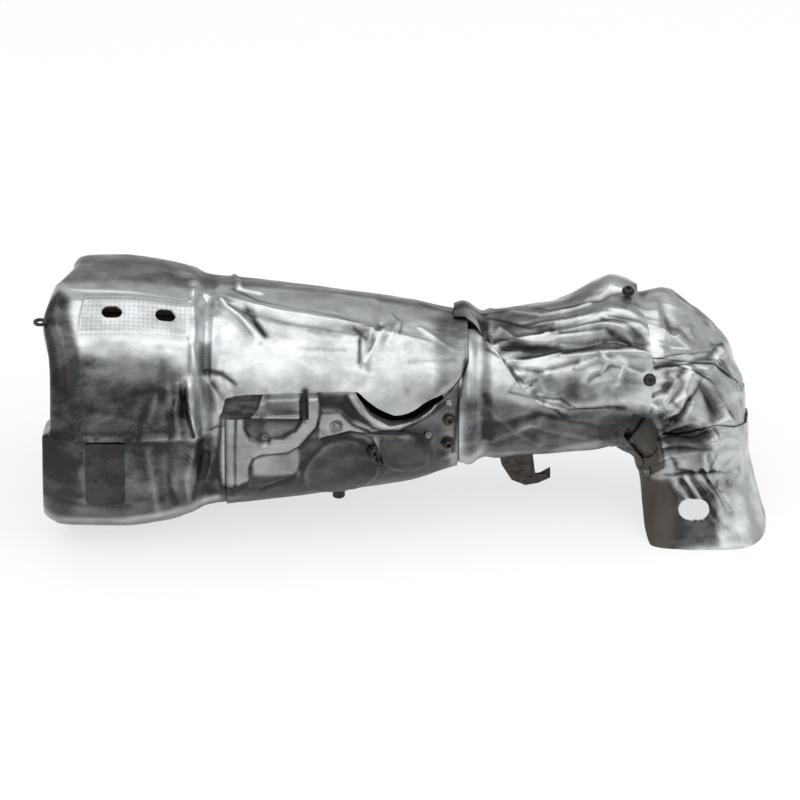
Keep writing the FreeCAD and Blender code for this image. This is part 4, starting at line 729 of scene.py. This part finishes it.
def tone_at(u, e, height):
    """Painted light and shade of the skin: a darker top and darker undersides, painted shade and highlights
    in given areas, painted shadows along creases and edges, painted shade deeper in its hollows and painted
    light on its ridges, and random tone.
    """
    edge = along(TOP_SHADE, u)
    total = (TOP_TONE + BODY_TOP_TONE * ramp(u, NECK_U, BODY_U)) * ramp(e, edge, edge + 8)
    total *= (1 - 0.4 * ramp(e, 115, 150)) * (1 - 0.75 * ramp(u, WAIST_U - 15, WAIST_U + 5))
    total += UNDER_TONE * (1 - ramp(e, -58, -34))
    # Painted light and shade in given areas, and painted shadows along creases and edges
    total += areas(u, e, PAINTED_LIGHT_AND_SHADE) + marks(u, e, DARK_LINES)
    # Painted shade in the hollows and painted light on the ridges, from the height less its blur
    blurred = height
    for _ in range(BLURS):
        for axis in (0, 1):
            wide = np.pad(blurred, [(1, 1) if k == axis else (0, 0) for k in (0, 1)], mode="edge")
            blurred = 0.5 * blurred + 0.25 * (np.delete(wide, (0, 1), axis) + np.delete(wide, (-1, -2), axis))
    relief = height - blurred
    total += 0.4 * np.clip(-relief, 0, 1.2) - 0.25 * np.clip(relief, 0, 1)
    total += 0.2 * (noise(u / 40, e / 20, 21) - 0.5) + 0.15 * (noise(u / 9, e / 7, 22) - 0.5)
    return 1 - (1 - np.clip(total, 0, 1)) ** 2


def place(points):
    """Pipe millimetres to the row frame's metres."""
    return (points + np.array(SHIFT)) / 1000


def linked(name, data):
    item = bpy.data.objects.new(name, data)
    bpy.context.scene.collection.objects.link(item)
    return item


SHARP_ANGLE = math.radians(62)


def new_object(name, verts, faces, material, layers):
    mesh = bpy.data.meshes.new(name)
    mesh.from_pydata([tuple(v) for v in verts.tolist()], [], faces)
    for label, values in layers.items():
        layer = mesh.attributes.new(label, "FLOAT", "POINT")
        layer.data.foreach_set("value", values.astype(np.float32))
    mesh.materials.append(material)
    mesh.shade_smooth()
    mesh.set_sharp_from_angle(angle=SHARP_ANGLE)
    item = linked(name, mesh)
    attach(item, "root")
    return item


def grid_faces(rows, columns, base=0, flip=False):
    i, j = np.meshgrid(np.arange(rows - 1), np.arange(columns - 1), indexing="ij")
    a = (base + i * columns + j).ravel()
    quads = np.stack([a, a + columns, a + columns + 1, a + 1], axis=1)
    return quads[:, ::-1] if flip else quads


def shell(rows, columns):
    """Faces of a closed sheet: the outer grid, the inner one and the four borders."""
    size = rows * columns
    grid = np.arange(size).reshape(rows, columns)
    faces = [grid_faces(rows, columns), grid_faces(rows, columns, size, True)]
    for edge, turned in ((grid[:, 0], False), (grid[:, -1], True), (grid[0], True), (grid[-1], False)):
        a, b = edge[:-1], edge[1:]
        ring = [a, b, b + size, a + size] if turned else [a, a + size, b + size, b]
        faces.append(np.stack(ring, axis=1))
    return np.concatenate(faces)


def steps(*pieces):
    """Values from pieces of (from, to, pitch)."""
    values = [pieces[0][0]]
    for low, high, pitch in pieces:
        count = max(1, round((high - low) / pitch))
        values += [low + (high - low) * k / count for k in range(1, count + 1)]
    return np.array(values)


def value_at(edge, u):
    """Value at u of an edge given as a table or as a function."""
    return edge(u) if callable(edge) else along(edge, u)


# Painted shade: the inner side of every sheet is drawn darker and browner
INNER_SHADE_AND_GRIME = 0.3


def sheet(node, material, stations, angles, lift, thickness, form, first=None, last=None, low=None,
          high=None, pivot=0, torn=0, extra_light_and_shade=None, pull=None):
    """One sheet on the skin, in place of its CAD node."""
    s, a = np.meshgrid(stations, angles, indexing="ij")
    start = stations[0] if first is None else first(a)
    stop = stations[-1] if last is None else last(a)
    u = start + (s - stations[0]) * (stop - start) / (stations[-1] - stations[0])
    e = a.copy()
    rough = torn * (ridged(u, 40, 9, 12) + 0.5 * ridged(u, 60, 3.5, 13))
    if low is not None:
        moved = pivot + (a - pivot) * (value_at(low, u) + rough - pivot) / (angles[0] - pivot)
        e = np.where(a < pivot, moved, e)
    if high is not None:
        moved = pivot + (a - pivot) * (value_at(high, u) + rough - pivot) / (angles[-1] - pivot)
        e = np.where(a > pivot, moved, e)
    height = (lift(u) if callable(lift) else lift) + form(u, e) + common(u, e)
    sides = [place(skin(u, e, height + thickness)), place(skin(u, e, height))]
    if pull is not None:
        for side in sides:
            side[..., 0] += pull(u, e) / 1000
    verts = np.concatenate([side.reshape(-1, 3) for side in sides])
    grime_and_shade = grime_and_shade_at(u, e).ravel()
    # Painted light and shade of the skin, plus the sheet's own extra painted light and shade
    tone = tone_at(u, e, height) + (extra_light_and_shade(u, e) if extra_light_and_shade else 0)
    tone = np.clip(tone, 0, 1).ravel()
    # The inner side takes painted shade, darker and browner
    layers = {"grime_and_shade": np.concatenate([grime_and_shade, np.clip(grime_and_shade + INNER_SHADE_AND_GRIME, 0, 1)]),
              "tone": np.concatenate([tone, np.clip(tone + INNER_SHADE_AND_GRIME, 0, 1)])}
    item = new_object(node + "_look", verts, shell(*u.shape).tolist(), material, layers)
    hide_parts(node)
    return item


def punch(item, cutter):
    """Cuts a hole through a sheet and applies the cut."""
    modifier = item.modifiers.new("hole", "BOOLEAN")
    modifier.operation = "DIFFERENCE"
    modifier.solver = "EXACT"
    modifier.object = cutter
    graph = bpy.context.evaluated_depsgraph_get()
    mesh = bpy.data.meshes.new_from_object(item.evaluated_get(graph))
    item.modifiers.clear()
    item.data = mesh
    bpy.data.objects.remove(cutter)


RING = 48


def cutter_at(point, normal, length, width, depth):
    """Slot-shaped cutter across a sheet, its length along the pipe."""
    n = np.array(normal) / np.linalg.norm(normal)
    x = np.array([1, 0, 0]) - n * n[0]
    x /= np.linalg.norm(x)
    y = np.cross(n, x)
    ring = []
    for k in range(RING):
        angle = 2 * math.pi * k / RING
        shift = 0.5 * (length - width) * (1 if math.cos(angle) > 0 else -1)
        ring.append(x * (shift + 0.5 * width * math.cos(angle)) + y * 0.5 * width * math.sin(angle))
    ring = np.array(ring)
    verts = np.concatenate([point + ring - n * depth, point + ring + n * depth])
    count = len(ring)
    faces = [list(range(count))[::-1], list(range(count, 2 * count))]
    faces += [[k, (k + 1) % count, (k + 1) % count + count, k + count] for k in range(count)]
    mesh = bpy.data.meshes.new("cutter")
    mesh.from_pydata([tuple(v) for v in verts.tolist()], [], faces)
    return linked("cutter", mesh)


def seat(u, e, lift):
    """Point and outward normal of the skin, in metres."""
    u = np.array([u, u + 2, u - 2, u, u])
    e = np.array([e, e, e, e + 2, e - 2])
    p = place(skin(u, e, lift))
    normal = np.cross(p[1] - p[2], p[3] - p[4])
    normal /= np.linalg.norm(normal)
    inside = place(skin(u[:1], e[:1], -30))[0]
    if np.dot(normal, p[0] - inside) < 0:
        normal = -normal
    return p[0], normal


# Materials
def new_material(name):
    material = bpy.data.materials.new(name)
    material.use_nodes = True
    nodes = material.node_tree.nodes
    nodes.clear()
    shader = nodes.new("ShaderNodeBsdfPrincipled")
    output = nodes.new("ShaderNodeOutputMaterial")
    material.node_tree.links.new(shader.outputs["BSDF"], output.inputs["Surface"])
    return material, shader


def add(material, kind, **values):
    node = material.node_tree.nodes.new(kind)
    for key, value in values.items():
        if hasattr(node, key):
            setattr(node, key, value)
        else:
            node.inputs[key.replace("_", " ")].default_value = value
    return node


def link(material, a, b):
    material.node_tree.links.new(a, b)


def feed(material, socket, value):
    """Links a socket to another one, or sets its value."""
    if hasattr(value, "default_value"):
        link(material, value, socket)
    else:
        socket.default_value = value


def noise_node(material, scale, detail, stretch=(1.0, 1.0, 1.0)):
    place_node = add(material, "ShaderNodeTexCoord")
    mapping = add(material, "ShaderNodeMapping")
    mapping.inputs["Scale"].default_value = stretch
    texture = add(material, "ShaderNodeTexNoise", Scale=scale, Detail=detail, Roughness=0.6)
    link(material, place_node.outputs["Object"], mapping.inputs["Vector"])
    link(material, mapping.outputs["Vector"], texture.inputs["Vector"])
    return texture


def mixed(material, factor, a, b):
    """Colour mix; factor, a and b are sockets or values."""
    node = add(material, "ShaderNodeMix", data_type="RGBA")
    for index, value in ((0, factor), (6, a), (7, b)):
        feed(material, node.inputs[index], value)
    return node.outputs[2]


def math_node(material, operation, a, b=0.0):
    node = add(material, "ShaderNodeMath", operation=operation)
    feed(material, node.inputs[0], a)
    feed(material, node.inputs[1], b)
    return node.outputs[0]


def remap(material, value, low, high, to_low, to_high):
    node = add(material, "ShaderNodeMapRange")
    link(material, value, node.inputs[0])
    for index, number in enumerate((low, high, to_low, to_high)):
        node.inputs[index + 1].default_value = number
    return node.outputs[0]


def roughen(material, shader, height, strength, distance):
    node = add(material, "ShaderNodeBump", Strength=strength, Distance=distance)
    link(material, height, node.inputs["Height"])
    link(material, node.outputs["Normal"], shader.inputs["Normal"])


def sheet_metal(name, clean, dull, rough, metallic, bump=0.25):
    """Aluminised sheet: mottled and scratched, darkened by painted light and shade, and browned by soiling
    and painted shade.
    """
    material, shader = new_material(name)
    cloud = noise_node(material, 22.0, 5.0).outputs["Fac"]
    streak = noise_node(material, 52.0, 4.0, (0.6, 1.0, 1.0)).outputs["Fac"]
    grain = noise_node(material, 520.0, 3.0).outputs["Fac"]
    grime_and_shade = add(material, "ShaderNodeAttribute", attribute_name="grime_and_shade").outputs["Fac"]
    tone = add(material, "ShaderNodeAttribute", attribute_name="tone").outputs["Fac"]
    cover = remap(material, cloud, 0.35, 0.7, -0.10, 0.14)
    fleck = remap(material, grain, 0.55, 0.75, 0.0, 0.12)
    dirt_and_shade = math_node(material, "ADD", math_node(material, "ADD", grime_and_shade, cover), fleck)
    dirt_and_shade = remap(material, dirt_and_shade, 0.0, 1.0, 0.0, 1.0)
    grey = math_node(material, "ADD", tone, remap(material, streak, 0.4, 0.7, -0.08, 0.12))
    grey = remap(material, math_node(material, "ADD", grey, fleck), 0.0, 1.0, 0.0, 1.0)
    base = mixed(material, remap(material, streak, 0.35, 0.65, 0.0, 1.0), clean, dull)
    colour = mixed(material, dirt_and_shade, mixed(material, grey, base, DARK), BROWN)
    link(material, colour, shader.inputs["Base Color"])
    roughness = remap(material, streak, 0.3, 0.7, rough - 0.07, rough + 0.07)
    roughness = math_node(material, "ADD", roughness, remap(material, dirt_and_shade, 0.2, 1.0, 0.0, 0.25))
    link(material, roughness, shader.inputs["Roughness"])
    link(material, remap(material, dirt_and_shade, 0.3, 1.0, metallic, 0.35), shader.inputs["Metallic"])
    height = math_node(material, "ADD", math_node(material, "MULTIPLY", grain, 0.25),
                       math_node(material, "MULTIPLY", streak, 0.9))
    roughen(material, shader, height, bump, 0.0008)
    return material


def plain_metal(name, colour, dark, rough, metallic):
    """Small steel pieces: dark in the noise's hollows."""
    material, shader = new_material(name)
    cloud = noise_node(material, 240.0, 4.0).outputs["Fac"]
    link(material, mixed(material, remap(material, cloud, 0.35, 0.65, 0.0, 1.0), colour, dark),
         shader.inputs["Base Color"])
    link(material, remap(material, cloud, 0.3, 0.7, rough, rough + 0.15), shader.inputs["Roughness"])
    shader.inputs["Metallic"].default_value = metallic
    roughen(material, shader, cloud, 0.2, 0.0004)
    return material


# DARK is the colour of the painted shade; BROWN is the colour of soiling and of painted shade
DARK = (0.026, 0.028, 0.030, 1.0)
BROWN = (0.075, 0.062, 0.05, 1.0)
foil = sheet_metal("foil", (0.63, 0.655, 0.665, 1.0), (0.47, 0.49, 0.50, 1.0), 0.36, 0.85)
pressed = sheet_metal("pressed_sheet", (0.40, 0.415, 0.42, 1.0), (0.27, 0.28, 0.285, 1.0), 0.33, 0.85)
dotted = sheet_metal("dotted_sheet", (0.60, 0.62, 0.63, 1.0), (0.50, 0.515, 0.52, 1.0), 0.40, 0.8, 0.1)
bare = plain_metal("bare_steel", (0.30, 0.305, 0.31, 1.0), (0.10, 0.10, 0.10, 1.0), 0.34, 0.9)
black = plain_metal("black_steel", (0.022, 0.022, 0.024, 1.0), (0.05, 0.045, 0.04, 1.0), 0.35, 0.5)
# Dark brown steel; on the hook bracket under the shell this darkness is partly painted shade
dark_brown = plain_metal("dark_brown_steel", (0.075, 0.068, 0.061, 1.0), (0.03, 0.026, 0.023, 1.0), 0.36, 0.8)

mat_look, shader = new_material("fibre_mat")
fibre = noise_node(mat_look, 500.0, 4.0, (0.5, 1.0, 1.4)).outputs["Fac"]
cloud = noise_node(mat_look, 170.0, 5.0, (0.4, 1.0, 1.6)).outputs["Fac"]
link(mat_look, mixed(mat_look, remap(mat_look, cloud, 0.35, 0.65, 0.0, 1.0), (0.022, 0.019, 0.025, 1.0),
                     (0.13, 0.12, 0.135, 1.0)), shader.inputs["Base Color"])
shader.inputs["Roughness"].default_value = 0.8
roughen(mat_look, shader, fibre, 0.6, 0.0006)


LEFT_BACK = 8.0
TAB_E = 62.0


def left_end(u, e):
    """The upper shell's left end stands back, less at the eyelet's tab, and slants only near the top."""
    later = END_SLANT * (1 - ramp(u, 0, 50)) * (ramp(e, 80, 112) - ramp(e, 56, 88))
    return later + (LEFT_BACK - 6 * bell(e, TAB_E, 13)) * (1 - ramp(u, 0, 52))


def lower_left_end(u, e):
    """The lower drum's top strip stays behind the upper shell."""
    return 10 * ramp(e, SEAM_E, SEAM_E + 4) * (1 - ramp(u, 0, 52))


def skirt_low(u):
    return along([(SKIRT_U - 36, -52), (SKIRT_U, -74), (FOOT_U + 12, -78), (RIM_U - 16, -62),
                  (RIM_U - 5, -54), (RIM_U, -48)], u)


def skirt_start(e):
    return along([(-50, SKIRT_U), (-30, SKIRT_U - 12), (-9, SKIRT_U - 34), (0, SKIRT_U - 25),
                  (26, SKIRT_U - 18), (50, SKIRT_U - 7), (80, SKIRT_U)], e)


# The sheets
PITCH = 1.2
UNDER = steps((BACK_LOW - 360, -75, 3), (-75, -30, 1.6))
FINE = 0.7 * PITCH
upper = sheet("upper_shell", foil,
              steps((-END_WALL, 0, 2), (0, NECK_U - 10, 1.8), (NECK_U - 10, PANEL_FROM + 6, FINE),
                    (PANEL_FROM + 6, UPPER_END, PITCH)),
              steps((SEAM_E, 95, 0.85), (95, 120, 1.4), (120, BACK_HIGH, 3)),
              upper_lift, SHEET, upper_form, low=TONGUE, pivot=54, torn=0.25, pull=left_end)
sheet("drum_lower_shell", foil, steps((-END_WALL, 0, 2), (0, PANEL_FROM + 12, 1.8)),
      np.concatenate([UNDER[:-1], steps((-30, SEAM_E + 8, 1.2))]), 0, SHEET, drum_form, pull=lower_left_end)
sheet("side_panel", pressed, steps((PANEL_FROM, PANEL_END, 1.1)),
      np.concatenate([UNDER[:-1], steps((-30, 34, 0.8))]), SHEET + LAP_GAP, PANEL_SHEET, panel_form,
      high=PANEL_TOP, pivot=-38)
sheet("rear_lower_sleeve", foil,
      steps((LOWER_SLEEVE_FROM, BEND_U, 1.8), (BEND_U, LOWER_SLEEVE_END, 1.2)),
      steps((BACK_LOW - 360, -135, 3), (-135, 84, 1.5)), lower_sleeve_lift, SHEET, lower_sleeve_form,
      last=leaf_end, low=lambda u: BACK_LOW - 360 + back_turn(u), high=TUCK, pivot=-80)
sheet("rear_upper_sleeve", foil,
      steps((WAIST_U - 20, SLEEVE_END_FRONT, 1.1)), steps((-5, 125, 1), (125, BACK_HIGH, 3)),
      upper_sleeve_lift, SHEET, sleeve_form, last=sleeve_end, low=FOIL,
      high=lambda u: BACK_HIGH + back_turn(u), pivot=90, torn=0.8)
sheet("elbow_cap", foil,
      steps((BEND_U - 15, CAP_END, 1.1)), steps((40, 130, 1.1), (130, BACK_HIGH, 2.5)),
      0, SHEET, cap_form, low=CAP_EDGE, pivot=130)
sheet("elbow_front_shell", foil,
      steps((BEND_U - 5, ELBOW_END, 1.1)), steps((BACK_LOW - 360, -45, 3), (-45, 166, 1.3)),
      -SHEET - LAP_GAP, SHEET, elbow_form, high=ELBOW_TOP, pivot=-40)
skirt = sheet("foot_skirt", foil, steps((SKIRT_U, RIM_U, 0.9)), steps((-50, 150, 1.1)),
              0, SHEET, skirt_form, first=skirt_start, low=skirt_low, pivot=-20)
sheet("insulation_mat", mat_look, steps((PANEL_FROM - 6, PANEL_FROM + 48, 1)),
      steps((8, 44, 0.8)), -6 - LAP_GAP, 6, mat_form)


DOT_PITCH = 3.6
DOT_RADIUS = 0.9
DOT_HEIGHT = 0.3
BORDER_SINK = 1.25


def dots(u, e):
    """Rows of fine pressed dots on the pad."""
    v = (e - PAD_E) * per_degree(u)
    away = np.hypot((u / DOT_PITCH) % 1 - 0.5, (v / DOT_PITCH) % 1 - 0.5) * DOT_PITCH
    return np.exp(-(away / DOT_RADIUS) ** 2)


def brink(u, e):
    """Distance from the pad's border."""
    side = np.minimum(u - PAD_FROM, PAD_FROM + PAD_LENGTH - u)
    return np.minimum(side, (PAD_HALF_ANGLE - np.abs(e - PAD_E)) * per_degree(u))


def pad_form(u, e):
    """Dots, and borders that sink into the shell."""
    return upper_form(u, e) + DOT_HEIGHT * dots(u, e) - BORDER_SINK * (1 - ramp(brink(u, e), 0.5, 3.5))


# Painted light and shade of the pad: darker dots, a darker left part, a little darker overall, and a border
# drawn lighter against the shade of its sunk rim
def pad_light_and_shade(u, e):
    left = 1 - ramp(u, PAD_FROM + 5, PAD_FROM + 50)
    return 0.30 * dots(u, e) + 0.08 + 0.12 * left - 0.5 * (1 - ramp(brink(u, e), 1, 5))


pad = sheet("doubler_pad", dotted, steps((PAD_FROM, PAD_FROM + PAD_LENGTH - 1, 0.6)),
            steps((PAD_E - PAD_HALF_ANGLE + 0.6, PAD_E + PAD_HALF_ANGLE - 0.6, 0.36)),
            lambda u: upper_lift(u) + SHEET + 0.35, 0.8, pad_form, extra_light_and_shade=pad_light_and_shade)
PLATE_FROM = 33
PLATE_TO = 63.2
PLATE_LOW = -27.5
PLATE_CORNER = 5


def plate_low(u):
    """The plate's lower edge with its round corners."""
    inset = np.clip(PLATE_CORNER - np.minimum(u - PLATE_FROM, PLATE_TO - u), 0, PLATE_CORNER)
    return PLATE_LOW + (PLATE_CORNER - np.sqrt(PLATE_CORNER ** 2 - inset ** 2)) / per_degree(u)


# The plate is drawn darker, with a painted shadow line just below its ridge
sheet("lower_plate", pressed, steps((PLATE_FROM, PLATE_TO, 0.8)), steps((PLATE_LOW, 5.4, 0.7)),
      SHEET + LAP_GAP, 1.6, lambda u, e: 0.8 * bell(e, -9, 2) - drum_dip(u, e), low=plate_low, pivot=0,
      extra_light_and_shade=lambda u, e: 0.25 + 0.3 * bell(e, -10.5, 1.2))

# Openings: length, width and depth of the cutters in metres
PAD_SLOTS_U = (53.5, 94.5)
PAD_SLOT = (0.0165, 0.0115, 0.008)
FOOT_HOLE_U = RIM_U - 27
FOOT_HOLE = (0.024, 0.016, 0.012)
for slot_u in PAD_SLOTS_U:
    for item in (upper, pad):
        punch(item, cutter_at(*seat(slot_u, PAD_E, 2.6), *PAD_SLOT))
punch(skirt, cutter_at(*seat(FOOT_HOLE_U, -5, SHEET), *FOOT_HOLE))

# Small pieces keep their solids
LOOKS = {"plate_rivets": dark_brown, "panel_rivets": bare, "panel_screws": dark_brown, "boss_screw": dark_brown,
         "sleeve_screws": black, "sleeve_rivet": bare, "elbow_rivet": bare, "rosette_rivet": bare,
         "leaf_rivet": bare, "back_seam_rivets": bare, "eyelet_tab": dark_brown, "bottom_stud": black,
         "hook_bracket": dark_brown}
for node, look in LOOKS.items():
    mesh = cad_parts[node].data
    mesh.materials.clear()
    mesh.materials.append(look)

# Floor, lamps and camera
FLOOR_HALF = 6
FLOOR_GLOW = 0.7
WORLD_LIGHT = 0.45
mesh = bpy.data.meshes.new("floor")
mesh.from_pydata([(x * FLOOR_HALF, y * FLOOR_HALF, 0) for x, y in ((-1, -1), (1, -1), (1, 1), (-1, 1))], [],
                 [(0, 1, 2, 3)])
floor = linked("floor", mesh)
pale, shader = new_material("pale_floor")
shader.inputs["Base Color"].default_value = (0.93, 0.93, 0.93, 1.0)
shader.inputs["Roughness"].default_value = 0.9
rays = add(pale, "ShaderNodeLightPath")
seen = math_node(pale, "MAXIMUM", rays.outputs["Is Camera Ray"], rays.outputs["Is Glossy Ray"])
seen = math_node(pale, "MAXIMUM", seen, rays.outputs["Is Transmission Ray"])
glow = add(pale, "ShaderNodeEmission")
glow.inputs["Strength"].default_value = 1.0
blend = add(pale, "ShaderNodeMixShader")
link(pale, math_node(pale, "MULTIPLY", seen, FLOOR_GLOW), blend.inputs[0])
link(pale, shader.outputs["BSDF"], blend.inputs[1])
link(pale, glow.outputs["Emission"], blend.inputs[2])
for node in pale.node_tree.nodes:
    if node.type == "OUTPUT_MATERIAL":
        link(pale, blend.outputs["Shader"], node.inputs["Surface"])
mesh.materials.append(pale)

world = bpy.data.worlds.new("studio")
bpy.context.scene.world = world
world.use_nodes = True
world.node_tree.nodes["Background"].inputs[0].default_value = (1.0, 1.0, 1.0, 1.0)
world.node_tree.nodes["Background"].inputs[1].default_value = WORLD_LIGHT


def lamp(name, place_at, aim, size, power):
    light = bpy.data.lights.new(name, "AREA")
    light.shape = "RECTANGLE"
    light.size, light.size_y = size
    light.energy = power
    item = linked(name, light)
    item.location = place_at
    item.rotation_euler = (Vector(aim) - Vector(place_at)).to_track_quat("-Z", "Y").to_euler()


lamp("overhead", (0.0, -0.3, 2.4), (0, 0, 0.1), (5.0, 3.4), 72.0)
lamp("front_fill", (-0.4, -3.0, 2.0), (0, 0, 0.1), (3.4, 1.8), 20.0)
lamp("right_fill", (2.6, -0.9, 1.5), (0.2, 0, 0.1), (2.0, 1.4), 9.0)

SENSOR = 36.0
DISTANCE = 12.0
FRAME_WIDTH = 0.640
ELEVATION = math.radians(30.0)
AIM = (-0.0003, 0.0, 0.0899)
camera = bpy.data.cameras.new("camera")
camera.sensor_width = SENSOR
camera.lens = SENSOR * DISTANCE / FRAME_WIDTH
eye = linked("camera", camera)
eye.location = (AIM[0], AIM[1] - DISTANCE * math.cos(ELEVATION), AIM[2] + DISTANCE * math.sin(ELEVATION))
eye.rotation_euler = (math.pi / 2 - ELEVATION, 0.0, 0.0)
bpy.context.scene.camera = eye
bpy.context.scene.view_settings.view_transform = "Standard"
